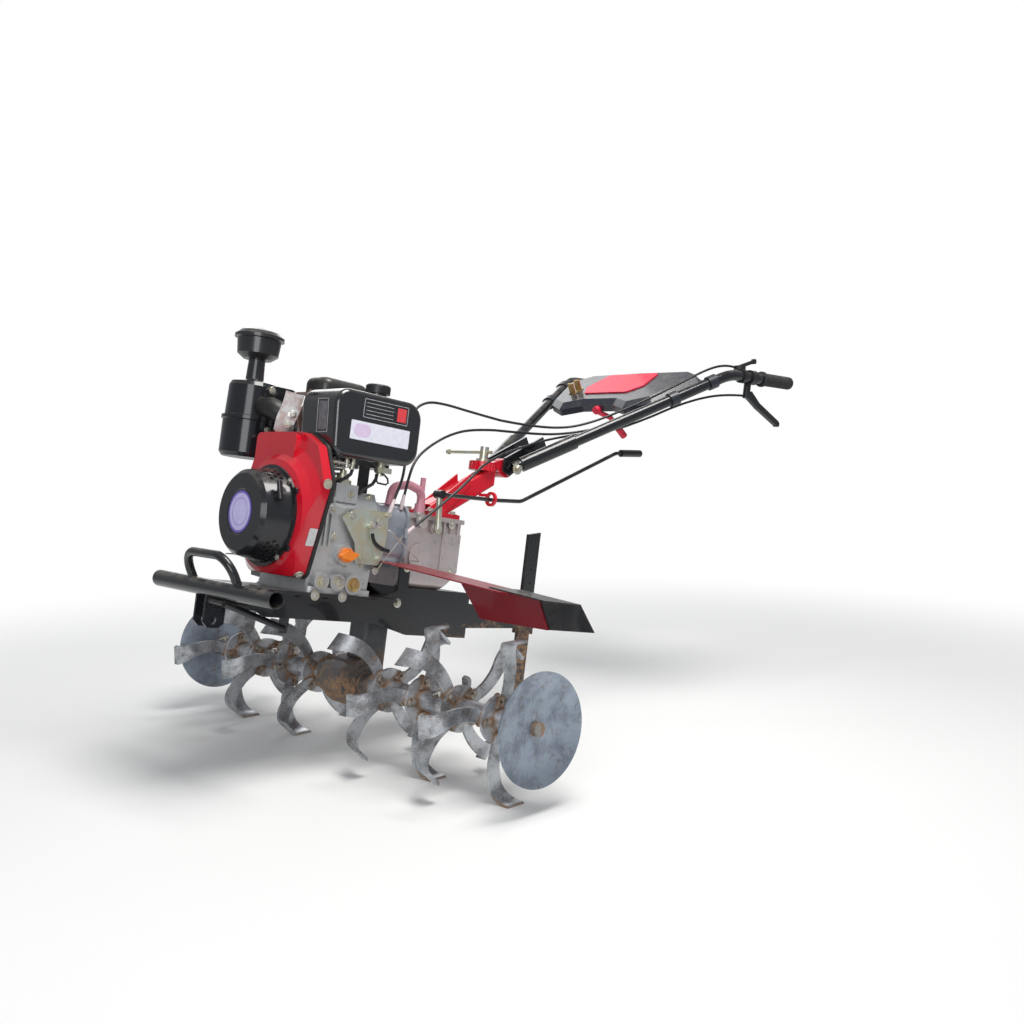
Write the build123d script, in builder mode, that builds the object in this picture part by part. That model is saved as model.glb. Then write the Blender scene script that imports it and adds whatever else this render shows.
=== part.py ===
"""Walk-behind diesel power weeder: engine, gearbox and leg on a frame, tine rotor, drag bar and handlebar.

Millimetres. The machine is drawn level, +X forward, +Y to its left, +Z up, with the tine axle at the
origin. STANCE then turns every piece about the axle into the parked attitude, in which the machine
leans back on its lowest tine tips and on the foot of the drag bar.
"""
import os
from math import asin, atan2, cos, degrees, hypot, pi, radians, sin, tan

from build123d import *

os.makedirs("parts", exist_ok=True)

# Tine rotor, about the axle
TINE_RADIUS = 180.0
TINE_THICKNESS = 7.0
TINE_BEND = 42.0
TINE_LIP = 12.0
TINE_TIP_WIDTH = 50.0
TINE_ROOT_WIDTH = 32.0
TINE_SAG = 26.0
FLANGE_RADIUS = 54.0
FLANGE_THICKNESS = 10.0
FIRST_FLANGE = 150.0
FLANGE_PITCH = 130.0
SHAFT_RADIUS = 16.0
TUBE_BORE_GAP = 0.2
HUB_TUBE_RADIUS = 25.0
DISC_RADIUS = 125.0
DISC_FLAT_RADIUS = 60.0
DISC_OFFSET = 652.0
DISC_DISH = 16.0
DISC_SHEET = 4.0
ROTOR_GAP = 4.0
BEARING_GAP = 0.2

# Drag bar, a flat bar with a row of pin holes, and its socket behind the frame
DRAG_BAR_X = -585.0
DRAG_BAR_LENGTH = 520.0
DRAG_FOOT_Z = -78.0
DRAG_BAR_DEPTH = 46.0
DRAG_BAR_THICKNESS = 12.0
DRAG_HOLE_PITCH = 41.0
DRAG_HOLE_RADIUS = 5.0
DRAG_HOLE_COUNT = 6
DRAG_HOLE_TOP = 28.0
SOCKET_GAP = 0.5
SOCKET_WALL = 6.0
SOCKET_HEIGHT = 80.0
SOCKET_Z = 185.0
SOCKET_ARM_DEPTH = 44.0
SOCKET_ARM_SHEET = 8.0

# Parked stance: the axle's height is the tine radius, the nose-up pitch follows from it and the foot
FOOT_X = DRAG_BAR_X - DRAG_BAR_DEPTH / 2
FOOT_REACH = hypot(FOOT_X, DRAG_FOOT_Z)
PITCH = degrees(asin(TINE_RADIUS / FOOT_REACH)) - degrees(atan2(-DRAG_FOOT_Z, -FOOT_X))
FORWARD_SHIFT = 528.5
STANCE = Location((FORWARD_SHIFT, 0, TINE_RADIUS), (0, -PITCH, 0))

# Frame, bumper and front hitch
DECK_TOP = 220.0
DECK_SHEET = 8.0
DECK_FRONT = 400.0
DECK_REAR = -20.0
DECK_WIDTH = 240.0
DECK_CORNER = 12.0
RAIL_DEPTH = 58.0
RAIL_SHEET = 6.0
RAIL_Y = 82.0
CRADLE_REAR = -285.0
CRADLE_TOP = 250.0
CRADLE_BOTTOM = 130.0
BUMPER_X = 426.0
BUMPER_Z = 205.0
BUMPER_HALF = 262.0
BUMPER_RADIUS = 20.0
BUMPER_WALL = 3.0
HOOP_HALF = 100.0
HOOP_HEIGHT = 62.0
HOOP_LEAN = 29.0
HOOP_RADIUS = 10.5
HOOP_BEND = 52.0
HITCH_X = 407.0
HITCH_Y = -40.0
HITCH_HALF = 27.0
HITCH_SHEET = 6.0
HITCH_GAP = 36.0
HITCH_DROP = 92.0
HITCH_PIN_RADIUS = 8.0
HITCH_PIN_DROP = 42.0
HITCH_PIN_OVERHANG = 26.0
HITCH_HOLE_RADIUS = 8.5
HITCH_HOLE_DROP = 76.0
BRACE_RADIUS = 8.0
BRACE_Y = 50.0
BRACE_REAR = 261.0
BRACE_REAR_Z = 127.0

# Leg
LEG_X = -29.0
LEG_LENGTH = 76.0
LEG_WIDTH = 76.0
LEG_CORNER = 14.0
LEG_FLANGE = 12.0
LEG_FLANGE_LENGTH = 120.0
LEG_FLANGE_WIDTH = 96.0
HOUSING_RADIUS = 62.0
HOUSING_WIDTH = 92.0
HOUSING_NOSE = 82.0
COVER_RADIUS = 44.0
COVER_SHEET = 6.0

# Engine
CRANK_Z = 387.0
CASE_REAR = 66.0
CASE_FRONT = 246.0
CASE_HALF = 102.0
CASE_TOP = 470.0
CASE_FLANGE = 8.0
CASE_FOOT = 14.0
SHROUD_BACK = 254.0
SHROUD_FRONT = 310.0
SHROUD_RIM = 26.0
SHROUD_SHEET = 2.5
SHROUD_CORNER = 24.0
SHROUD_DOME = 158.0
SHROUD_RING = 120.0
RECOIL_FACE = 387.0
RECOIL_RADIUS = 97.0
RECOIL_SHEET = 2.5
RECOIL_FLANGE = 6.0
RECOIL_LABEL = 52.0
VENT_COLUMNS = 6
VENT_ROWS = 3
VENT_PITCH = 9.0
VENT_ROW_PITCH = 12.0
VENT_SIZE = 8.0
FLYWHEEL_RADIUS = 112.0
CYLINDER_X = 150.0
CYLINDER_Y = -72.0
CYLINDER_RADIUS = 62.0
FIN_PITCH = 12.0
FIN_SHEET = 4.0
HEAD_BOTTOM = 560.0
HEAD_TOP = 640.0
HEAD_LENGTH = 150.0
HEAD_WIDTH = 124.0
ROCKER_HEIGHT = 30.0
PLATE_Y = 112.0
PLATE_SHEET = 3.0
PUMP_X = 150.0
PUMP_Y = 84.0
FILLER_X = 159.0
FILLER_Z = 315.0

# Muffler
MUFFLER_X = 95.0
MUFFLER_Y = -96.0
MUFFLER_LENGTH = 150.0
MUFFLER_WIDTH = 96.0
MUFFLER_HEIGHT = 74.0

# Tank
TANK_REAR = -5.0
TANK_FRONT = 257.0
TANK_BOTTOM = 541.0
TANK_TOP = 706.0
TANK_INNER_Y = -7.0
TANK_OUTER_Y = 144.0
TANK_FRONT_CORNER = 28.0
TANK_REAR_CORNER = 40.0
TANK_RIM = 13.0
NECK_X = 88.0
NECK_Y = 70.0
NECK_RADIUS = 22.0
NECK_HEIGHT = 12.0
CAP_RADIUS = 31.0
CAP_HEIGHT = 22.0

# Air cleaner
CLEANER_X = 260.0
CLEANER_Y = -224.0
CLEANER_BOTTOM = 528.0
CLEANER_RADIUS = 66.0
CLEANER_HEIGHT = 195.0
STACK_RADIUS = 21.0
STACK_HEIGHT = 58.0
CUP_RADIUS = 56.0
ELBOW_RADIUS = 26.0

# Gearbox and post
GEARBOX_FRONT = -38.0
GEARBOX_REAR = -230.0
GEARBOX_TOP = 440.0
GEARBOX_HALF = 78.0
GEAR_LEVER_X = -134.0
BREATHER_X = -114.0
POST_BASE_X = -185.0
POST_FOOT_LENGTH = 106.0
POST_FOOT_WIDTH = 110.0
POST_FLANGE = 13.0
POST_SIZE = 50.0
POST_WALL = 5.0
SWIVEL_X = -352.0
SWIVEL_Z = 590.0
SWIVEL_RADIUS = 38.0
SWIVEL_PLATE = 12.0
SWIVEL_GAP = 0.3
SWIVEL_TEETH = 20
PIVOT_X = -420.0
PIVOT_Z = 606.0
PIVOT_RADIUS = 8.0
PIVOT_GAP = 0.3
HEAD_LUG_RADIUS = 27.0
HEAD_HALF = 24.0
SCREW_RADIUS = 12.0
SCREW_TOP = 655.0
CROSSBAR_RADIUS = 5.0
CROSSBAR_LEFT = 30.0
CROSSBAR_RIGHT = -155.0
SHIFT_ROD_RADIUS = 5.5
SHIFT_ROD_Y = 70.0
GUIDE_X = -330.0

# Handlebar
TUBE_RADIUS = 16.0
TUBE_WALL = 2.0
SLEEVE_RADIUS = 21.0
SLEEVE_START = 26.0
SLEEVE_END = 200.0
TUBE_APEX_Y = 52.0
CHEEK_SHEET = 8.0
HANDLE_BEND_X = -1000.0
HANDLE_BEND_Y = 328.0
HANDLE_BEND_Z = 980.0
HANDLE_BEND_RADIUS = 120.0
GRIP_END_X = -1310.0
GRIP_END_Z = 1014.0
GRIP_LENGTH = 150.0
GRIP_RADIUS = 20.0
GRIP_CAP = 6.0

# Console, in the plane of the two tubes
CONSOLE_FRONT = 415.0
CONSOLE_ARCH = 446.0
CONSOLE_FLARE = 460.0
CONSOLE_SHOULDER = 626.0
CONSOLE_REAR = 688.0
CONSOLE_FRONT_HALF = 130.0
CONSOLE_FLARE_HALF = 206.0
CONSOLE_SHOULDER_HALF = 270.0
CONSOLE_REAR_HALF = 200.0
CONSOLE_WALL = 3.0
CONSOLE_DEPTH = 20.0
CONSOLE_CROWN = 16.0
CONSOLE_EDGE = 6.0

# Fenders
FENDER_X = -72.0
FENDER_DEPTH = 122.0
FENDER_INNER = 100.0
FENDER_OUTER = 545.0
FENDER_INNER_Z = 308.0
FENDER_OUTER_Z = 275.0
FENDER_SHEET = 3.0
FENDER_LEAN = 22.0
FLAP_DEPTH = 97.0
FLAP_START = 166.0
FLAP_CUT = 66.0
FLAP_FLARE = 22.0
EXTENSION_LAP = 60.0
EXTENSION_REACH = 128.0

# Cables
CABLE_RADIUS = 3.5
CABLE_GAP = 30.0


def finish(piece, label):
    """Label a piece and write it turned into the parked stance; the piece itself stays level."""
    piece.part.label = label
    export_step(piece.part.moved(STANCE), f"parts/{label}.step")


def bar(points, radius, bend=0.0, bore=0.0, mode=Mode.ADD):
    """Add a round bar, or a tube where it has a bore, along straight runs with rounded corners."""
    with BuildLine() as run:
        if bend:
            FilletPolyline(*points, radius=bend)
        else:
            Polyline(*points)
    with BuildSketch(Plane(origin=run.line @ 0, z_dir=run.line % 0)) as section:
        Circle(radius)
        if bore:
            Circle(bore, mode=Mode.SUBTRACT)
    sweep(sections=section.sketch, path=run.line, mode=mode)


def boss(centre, direction, radius, length, bore=0.0, taper=0.0, mode=Mode.ADD):
    """Add a round boss that starts at a centre and runs along a direction."""
    with BuildSketch(Plane(origin=centre, z_dir=direction)) as section:
        Circle(radius)
        if bore:
            Circle(bore, mode=Mode.SUBTRACT)
    extrude(to_extrude=section.sketch, amount=length, taper=taper, mode=mode)


def plate(plane, corners, amount, corner=0.0, both=False, mode=Mode.ADD):
    """Add a flat plate: its corners in the plane's own x and y, all rounded alike where asked."""
    with BuildSketch(plane) as outline:
        with BuildLine():
            if corner:
                FilletPolyline(*corners, radius=corner, close=True)
            else:
                Polyline(*corners, close=True)
        make_face()
    extrude(to_extrude=outline.sketch, amount=amount, both=both, mode=mode)


def side_plate(corners, y, sheet, corner=0.0):
    """Add a flat plate that stands lengthwise: corners are (x, z), y is its middle."""
    plate(Plane.XZ.offset(-y), corners, sheet / 2, corner=corner, both=True)


def block(start, end):
    """Add a plain block between two opposite corners."""
    size = [abs(b - a) for a, b in zip(start, end)]
    middle = [(a + b) / 2 for a, b in zip(start, end)]
    with Locations(Location(tuple(middle))):
        Box(*size)


def turned(profile, x, y):
    """Add a body turned about an upright axis: profile points are (radius, z)."""
    with BuildSketch(Plane.XZ.offset(-y)) as outline:
        with BuildLine():
            Polyline(*[(x + radius, z) for radius, z in profile], close=True)
        make_face()
    revolve(profiles=outline.sketch, axis=Axis((x, y, 0), (0, 0, 1)))


def fender_fold(side):
    """The plane of a fender's top: x runs outboard along its fold, y across the sheet, z out of it."""
    droop = atan2(FENDER_INNER_Z - FENDER_OUTER_Z, FENDER_OUTER - FENDER_INNER)
    return Plane(origin=(FENDER_X, side * FENDER_INNER, FENDER_INNER_Z),
                 x_dir=(0, side * cos(droop), -sin(droop)), z_dir=(0, side * sin(droop), cos(droop)))


# Base frame: deck plate, side rails and the cradle under the gearbox
with BuildPart() as base_frame:
    rail_top = DECK_TOP - DECK_SHEET
    deck_half = DECK_WIDTH / 2
    deck = [(DECK_REAR, -deck_half), (DECK_FRONT, -deck_half), (DECK_FRONT, deck_half), (DECK_REAR, deck_half)]
    plate(Plane.XY.offset(rail_top), deck, DECK_SHEET, corner=DECK_CORNER)
    rail_front = BUMPER_X - BUMPER_RADIUS + 3
    step_x = DECK_REAR - 40
    for side in (-1, 1):
        rail = [
            (rail_front, rail_top),
            (rail_front, BUMPER_Z - 12),
            (DECK_FRONT - 60, rail_top - RAIL_DEPTH),
            (DECK_REAR, rail_top - RAIL_DEPTH),
            (DECK_REAR, rail_top),
        ]
        side_plate(rail, side * RAIL_Y, RAIL_SHEET)
        cradle = [
            (DECK_REAR + 40, rail_top),
            (DECK_REAR + 40, rail_top - RAIL_DEPTH),
            (DECK_REAR - 60, CRADLE_BOTTOM),
            (CRADLE_REAR, CRADLE_BOTTOM),
            (CRADLE_REAR, CRADLE_TOP),
            (step_x, CRADLE_TOP),
        ]
        side_plate(cradle, side * RAIL_Y, RAIL_SHEET)
        bracket = [
            (FENDER_X, CRADLE_TOP - 20), (GEARBOX_FRONT - 2, CRADLE_TOP - 20),
            (GEARBOX_FRONT - 2, FENDER_INNER_Z - 1), (FENDER_X, FENDER_INNER_Z - 1),
        ]
        side_plate(bracket, side * RAIL_Y, RAIL_SHEET)
        tab_depth = GEARBOX_FRONT - 2 - FENDER_X
        with BuildSketch(fender_fold(side)):
            with Locations((0, -side * tab_depth / 2)):
                Rectangle(2 * (FENDER_INNER - RAIL_Y), tab_depth)
        extrude(amount=-FENDER_SHEET)
    outer = RAIL_Y + RAIL_SHEET / 2
    block((CRADLE_REAR, -outer, CRADLE_TOP - DECK_SHEET), (step_x, outer, CRADLE_TOP))
    block((CRADLE_REAR, -outer, CRADLE_BOTTOM), (CRADLE_REAR + RAIL_SHEET, outer, CRADLE_TOP))
    block((step_x - 6, -RAIL_Y, rail_top), (step_x + 2, RAIL_Y, CRADLE_TOP))
    block((step_x - 6, -RAIL_Y, rail_top), (DECK_REAR + 4, RAIL_Y, DECK_TOP))
    boss((BUMPER_X, -DECK_WIDTH / 2, BUMPER_Z), (0, 1, 0), BUMPER_RADIUS, DECK_WIDTH, mode=Mode.SUBTRACT)
finish(base_frame, "base_frame")

# Front bumper: an open tube with a hoop welded on
with BuildPart() as front_bumper:
    boss((BUMPER_X, -BUMPER_HALF, BUMPER_Z), (0, 1, 0), BUMPER_RADIUS, 2 * BUMPER_HALF)
    lean_x = HOOP_HEIGHT * tan(radians(HOOP_LEAN))
    foot_z = BUMPER_Z + BUMPER_RADIUS - 4
    hoop = [
        (BUMPER_X, -HOOP_HALF, foot_z),
        (BUMPER_X + lean_x, -HOOP_HALF, foot_z + HOOP_HEIGHT),
        (BUMPER_X + lean_x, HOOP_HALF, foot_z + HOOP_HEIGHT),
        (BUMPER_X, HOOP_HALF, foot_z),
    ]
    bar(hoop, HOOP_RADIUS, bend=HOOP_BEND)
    boss((BUMPER_X, -BUMPER_HALF, BUMPER_Z), (0, 1, 0), BUMPER_RADIUS - BUMPER_WALL, 2 * BUMPER_HALF,
         mode=Mode.SUBTRACT)
finish(front_bumper, "front_bumper")

# Front hitch: two ears under the bumper with a drop-in pin, a free pair of holes and a brace rod
with BuildPart() as front_hitch:
    ear_bottom = BUMPER_Z - HITCH_DROP
    ear_rear = HITCH_X - HITCH_HALF
    ear_front = HITCH_X + HITCH_HALF
    for side in (-1, 1):
        ear = [
            (ear_rear, rail_top), (BUMPER_X - BUMPER_RADIUS, rail_top), (ear_front, BUMPER_Z - 10),
            (ear_front, ear_bottom + 12), (ear_front - 12, ear_bottom), (ear_rear + 12, ear_bottom),
            (ear_rear, ear_bottom + 12),
        ]
        side_plate(ear, HITCH_Y + side * (HITCH_GAP + HITCH_SHEET) / 2, HITCH_SHEET)
    pin_z = BUMPER_Z - HITCH_PIN_DROP
    pin_half = HITCH_GAP / 2 + HITCH_SHEET + HITCH_PIN_OVERHANG
    boss((HITCH_X, HITCH_Y - pin_half, pin_z), (0, 1, 0), HITCH_PIN_RADIUS, 2 * pin_half)
    hole_z = BUMPER_Z - HITCH_HOLE_DROP
    boss((HITCH_X, HITCH_Y - pin_half, hole_z), (0, 1, 0), HITCH_HOLE_RADIUS, 2 * pin_half, mode=Mode.SUBTRACT)
    cross_z = BUMPER_Z - BUMPER_RADIUS - BRACE_RADIUS - 2
    ear_face = HITCH_Y + HITCH_GAP / 2
    boss((ear_front - 10, ear_face, cross_z), (0, 1, 0), BRACE_RADIUS - 1, BRACE_Y - ear_face)
    bar([(ear_front - 10, BRACE_Y, cross_z), (BRACE_REAR, BRACE_Y, BRACE_REAR_Z)], BRACE_RADIUS)
    lug = [
        (BRACE_REAR - 16, rail_top), (BRACE_REAR + 16, rail_top),
        (BRACE_REAR + 10, BRACE_REAR_Z - 12), (BRACE_REAR - 10, BRACE_REAR_Z - 12),
    ]
    side_plate(lug, BRACE_Y, HITCH_SHEET)
    boss((BUMPER_X, HITCH_Y - pin_half, BUMPER_Z), (0, 1, 0), BUMPER_RADIUS, 2 * pin_half, mode=Mode.SUBTRACT)
finish(front_hitch, "front_hitch")

# Leg: top flange, column and the axle housing with its two bearing covers
with BuildPart() as leg:
    with BuildSketch(Plane.XY.offset(rail_top - LEG_FLANGE)):
        with Locations((LEG_X, 0)):
            RectangleRounded(LEG_FLANGE_LENGTH, LEG_FLANGE_WIDTH, LEG_CORNER)
    extrude(amount=LEG_FLANGE)
    with BuildSketch(Plane.XY):
        with Locations((LEG_X, 0)):
            RectangleRounded(LEG_LENGTH, LEG_WIDTH, LEG_CORNER)
    extrude(amount=rail_top - LEG_FLANGE)
    boss((0, -HOUSING_WIDTH / 2, 0), (0, 1, 0), HOUSING_RADIUS, HOUSING_WIDTH)
    nose = [(0, HOUSING_RADIUS - 2), (HOUSING_NOSE, 34), (HOUSING_NOSE, -18), (0, 2 - HOUSING_RADIUS)]
    side_plate(nose, 0, HOUSING_WIDTH)
    cover_half = HOUSING_WIDTH / 2 + COVER_SHEET
    boss((0, -cover_half, 0), (0, 1, 0), COVER_RADIUS, 2 * cover_half)
    boss((0, -cover_half, 0), (0, 1, 0), SHAFT_RADIUS + BEARING_GAP, 2 * cover_half, mode=Mode.SUBTRACT)
finish(leg, "leg")

# Fenders: a top flange over the tines and a leaning flap, each with a bolted extension outboard
reach = FENDER_OUTER - FENDER_INNER
for side_name, side in (("left", 1), ("right", -1)):
    fold = fender_fold(side)
    forward = -side
    down_flap = Vector(-sin(radians(FENDER_LEAN)), 0, -cos(radians(FENDER_LEAN)))
    flap = Plane(origin=fold.origin, x_dir=fold.x_dir, z_dir=fold.x_dir.cross(down_flap) * side)
    down = 1 if flap.y_dir.Z < 0 else -1
    with BuildPart() as fender:
        near_edge = -forward * FENDER_SHEET
        far_edge = forward * FENDER_DEPTH
        plate(fold, [(0, near_edge), (reach, near_edge), (reach, far_edge), (0, far_edge)], FENDER_SHEET)
        face = [
            (FLAP_START, 0), (reach, 0), (reach + FLAP_FLARE, down * (FLAP_DEPTH - 20)),
            (FLAP_START + FLAP_CUT, down * FLAP_DEPTH),
        ]
        plate(flap, face, FENDER_SHEET)
    finish(fender, f"fender_{side_name}")
    with BuildPart() as fender_extension:
        lap = reach - EXTENSION_LAP
        tip = reach + EXTENSION_REACH
        near_edge = -forward * 2 * FENDER_SHEET
        top = [(lap, near_edge), (tip, near_edge), (tip - 14, far_edge * 0.8), (lap, far_edge * 0.8)]
        plate(fold.offset(FENDER_SHEET), top, FENDER_SHEET)
        face = [
            (lap, -down * 4), (tip, -down * 4), (tip + 34, down * 54), (reach + FLAP_FLARE, down * (FLAP_DEPTH - 20)),
            (lap + 12, down * (FLAP_DEPTH - 26)),
        ]
        plate(flap.offset(FENDER_SHEET), face, FENDER_SHEET)
        add(fender.part, mode=Mode.SUBTRACT)
    finish(fender_extension, f"fender_extension_{side_name}")

# Socket on two arms behind the cradle, and the drag bar in it
with BuildPart() as drag_socket:
    slot_depth = DRAG_BAR_DEPTH + 2 * SOCKET_GAP
    slot_width = DRAG_BAR_THICKNESS + 2 * SOCKET_GAP
    arm_y = slot_width / 2 + SOCKET_WALL
    with BuildSketch(Plane.XY.offset(SOCKET_Z - SOCKET_HEIGHT / 2)):
        with Locations((DRAG_BAR_X, 0)):
            Rectangle(slot_depth + 2 * SOCKET_WALL, 2 * arm_y)
            Rectangle(slot_depth, slot_width, mode=Mode.SUBTRACT)
    extrude(amount=SOCKET_HEIGHT)
    arm_low = SOCKET_Z - SOCKET_ARM_DEPTH / 2
    arm_high = SOCKET_Z + SOCKET_ARM_DEPTH / 2
    arm_rear = DRAG_BAR_X - slot_depth / 2
    for side in (-1, 1):
        arm = [(arm_rear, arm_low), (CRADLE_REAR, arm_low - 14), (CRADLE_REAR, arm_high + 14), (arm_rear, arm_high)]
        side_plate(arm, side * (arm_y + SOCKET_ARM_SHEET / 2), SOCKET_ARM_SHEET)
    foot_half = arm_y + SOCKET_ARM_SHEET + 26
    block((CRADLE_REAR - SOCKET_ARM_SHEET, -foot_half, arm_low - 24), (CRADLE_REAR, foot_half, arm_high + 24))
finish(drag_socket, "drag_socket")

with BuildPart() as drag_bar:
    bar_front = DRAG_BAR_X + DRAG_BAR_DEPTH / 2
    bar_top = DRAG_FOOT_Z + DRAG_BAR_LENGTH
    outline = [
        (FOOT_X, DRAG_FOOT_Z), (bar_front, DRAG_FOOT_Z), (bar_front, bar_top - 10), (FOOT_X, bar_top),
    ]
    side_plate(outline, 0, DRAG_BAR_THICKNESS)
    for hole in range(DRAG_HOLE_COUNT):
        hole_z = bar_top - DRAG_HOLE_TOP - hole * DRAG_HOLE_PITCH
        boss((DRAG_BAR_X, -DRAG_BAR_THICKNESS, hole_z), (0, 1, 0), DRAG_HOLE_RADIUS, 2 * DRAG_BAR_THICKNESS,
             mode=Mode.SUBTRACT)
finish(drag_bar, "drag_bar")

# Rotor shaft through the leg, with a thrust collar on each side
with BuildPart() as rotor_shaft:
    shaft_half = DISC_OFFSET + DISC_SHEET + 10
    boss((0, -shaft_half, 0), (0, 1, 0), SHAFT_RADIUS, 2 * shaft_half)
    collar_start = cover_half + ROTOR_GAP
    group_start = FIRST_FLANGE - FLANGE_PITCH / 2 + 2
    for side in (-1, 1):
        boss((0, side * collar_start, 0), (0, side, 0), HUB_TUBE_RADIUS + 6, group_start - collar_start)
finish(rotor_shaft, "rotor_shaft")


def tine(y, angle, hand):
    """One blade: a sickle in the plane of rotation whose wide end bends over along the axle.

    Its angle is from forward towards up; hand is +1 where it bends to the left, -1 to the right.
    """
    turn = radians(angle)
    radial = Vector(cos(turn), 0, sin(turn))
    section_plane = Plane(origin=(0, y, 0), x_dir=radial, z_dir=(-sin(turn), 0, cos(turn)))
    sickle_plane = Plane(origin=(0, y, 0), x_dir=radial, z_dir=(0, 1, 0))
    root = FLANGE_RADIUS - 26
    bend_start = TINE_RADIUS - TINE_BEND
    near = hand * FLANGE_THICKNESS / 2
    far = near + hand * TINE_THICKNESS
    reach = near + hand * (TINE_BEND + TINE_LIP)
    inner_bend = TINE_BEND - TINE_THICKNESS
    half = sin(radians(45))
    root_half = TINE_ROOT_WIDTH / 2
    tip_half = TINE_TIP_WIDTH / 2
    middle = (root + TINE_RADIUS) / 2
    with BuildPart(mode=Mode.PRIVATE) as blade:
        with BuildSketch(section_plane) as section:
            with BuildLine():
                Polyline((bend_start, far), (root, far), (root, near), (bend_start, near))
                ThreePointArc((bend_start, near),
                              (bend_start + TINE_BEND * half, near + hand * TINE_BEND * (1 - half)),
                              (TINE_RADIUS, near + hand * TINE_BEND))
                Polyline((TINE_RADIUS, near + hand * TINE_BEND), (TINE_RADIUS, reach),
                         (TINE_RADIUS - TINE_THICKNESS, reach),
                         (TINE_RADIUS - TINE_THICKNESS, near + hand * TINE_BEND))
                ThreePointArc((TINE_RADIUS - TINE_THICKNESS, near + hand * TINE_BEND),
                              (bend_start + inner_bend * half, near + hand * (TINE_BEND - inner_bend * half)),
                              (bend_start, far))
            make_face()
        extrude(to_extrude=section.sketch, amount=TINE_TIP_WIDTH + TINE_SAG, both=True)
        with BuildSketch(sickle_plane) as sickle:
            with BuildLine():
                ThreePointArc((root, root_half), (middle, root_half - TINE_SAG), (TINE_RADIUS + 1, tip_half - 4))
                Line((TINE_RADIUS + 1, tip_half - 4), (TINE_RADIUS + 1, -tip_half - 4))
                ThreePointArc((TINE_RADIUS + 1, -tip_half - 4), (middle, -root_half - TINE_SAG), (root, -root_half))
                Line((root, -root_half), (root, root_half))
            make_face()
        extrude(to_extrude=sickle.sketch, amount=2 * TINE_BEND, both=True, mode=Mode.INTERSECT)
    return blade.part


# Tine groups: a hub tube with two flanges, four blades on each, bent to alternate hands
GROUPS = [
    # side name, side, place, number of its first flange
    ("left", 1, "inner", 0),
    ("left", 1, "outer", 2),
    ("right", -1, "inner", 0),
    ("right", -1, "outer", 2),
]
for side_name, side, place, first in GROUPS:
    with BuildPart() as tines:
        tube_start = FIRST_FLANGE + (first - 0.5) * FLANGE_PITCH + 2
        tube_end = FIRST_FLANGE + (first + 1.5) * FLANGE_PITCH
        boss((0, side * tube_start, 0), (0, side, 0), HUB_TUBE_RADIUS, tube_end - tube_start)
        for flange in (0, 1):
            flange_y = side * (FIRST_FLANGE + (first + flange) * FLANGE_PITCH)
            boss((0, flange_y - FLANGE_THICKNESS / 2, 0), (0, 1, 0), FLANGE_RADIUS, FLANGE_THICKNESS)
            for blade in range(4):
                angle = 45.0 * (1 - flange) + 90.0 * blade - PITCH
                add(tine(flange_y, angle, 1 if blade % 2 else -1))
        boss((0, side * tube_start, 0), (0, side, 0), SHAFT_RADIUS + TUBE_BORE_GAP, tube_end - tube_start,
             mode=Mode.SUBTRACT)
    finish(tines, f"tines_{side_name}_{place}")

# End discs, dished outwards, each on its own collar
for side_name, side in (("left", 1), ("right", -1)):
    bore = SHAFT_RADIUS + TUBE_BORE_GAP
    disc_y = side * DISC_OFFSET
    collar_y = side * (FIRST_FLANGE + 3.5 * FLANGE_PITCH + 2)
    rim_y = disc_y + side * DISC_DISH
    arc_radius = (DISC_FLAT_RADIUS + DISC_RADIUS) / 2 + 2
    with BuildPart() as disc:
        with BuildSketch(Plane.XY) as outline:
            with BuildLine():
                Polyline((bore, collar_y), (HUB_TUBE_RADIUS, collar_y), (HUB_TUBE_RADIUS, disc_y))
                Polyline((HUB_TUBE_RADIUS, disc_y), (DISC_FLAT_RADIUS, disc_y))
                ThreePointArc((DISC_FLAT_RADIUS, disc_y),
                              (arc_radius, disc_y + side * DISC_DISH * 0.32),
                              (DISC_RADIUS, rim_y))
                Line((DISC_RADIUS, rim_y), (DISC_RADIUS, rim_y + side * DISC_SHEET))
                ThreePointArc((DISC_RADIUS, rim_y + side * DISC_SHEET),
                              (arc_radius, disc_y + side * (DISC_DISH * 0.32 + DISC_SHEET)),
                              (DISC_FLAT_RADIUS, disc_y + side * DISC_SHEET))
                Polyline((DISC_FLAT_RADIUS, disc_y + side * DISC_SHEET), (bore, disc_y + side * DISC_SHEET),
                         (bore, collar_y))
            make_face()
        revolve(profiles=outline.sketch, axis=Axis.Y)
    finish(disc, f"end_disc_{side_name}")


def outline_face(x, corners, corner, amount, mode=Mode.ADD):
    """Add a plate that faces forward: corners are (y, z), x is its back, amount its thickness."""
    plate(Plane.YZ.offset(x), corners, amount, corner=corner, mode=mode)


SHROUD_OUTLINE = [(-98, 252), (104, 252), (168, 478), (128, 560), (60, 592), (-118, 592), (-160, 480)]


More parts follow.
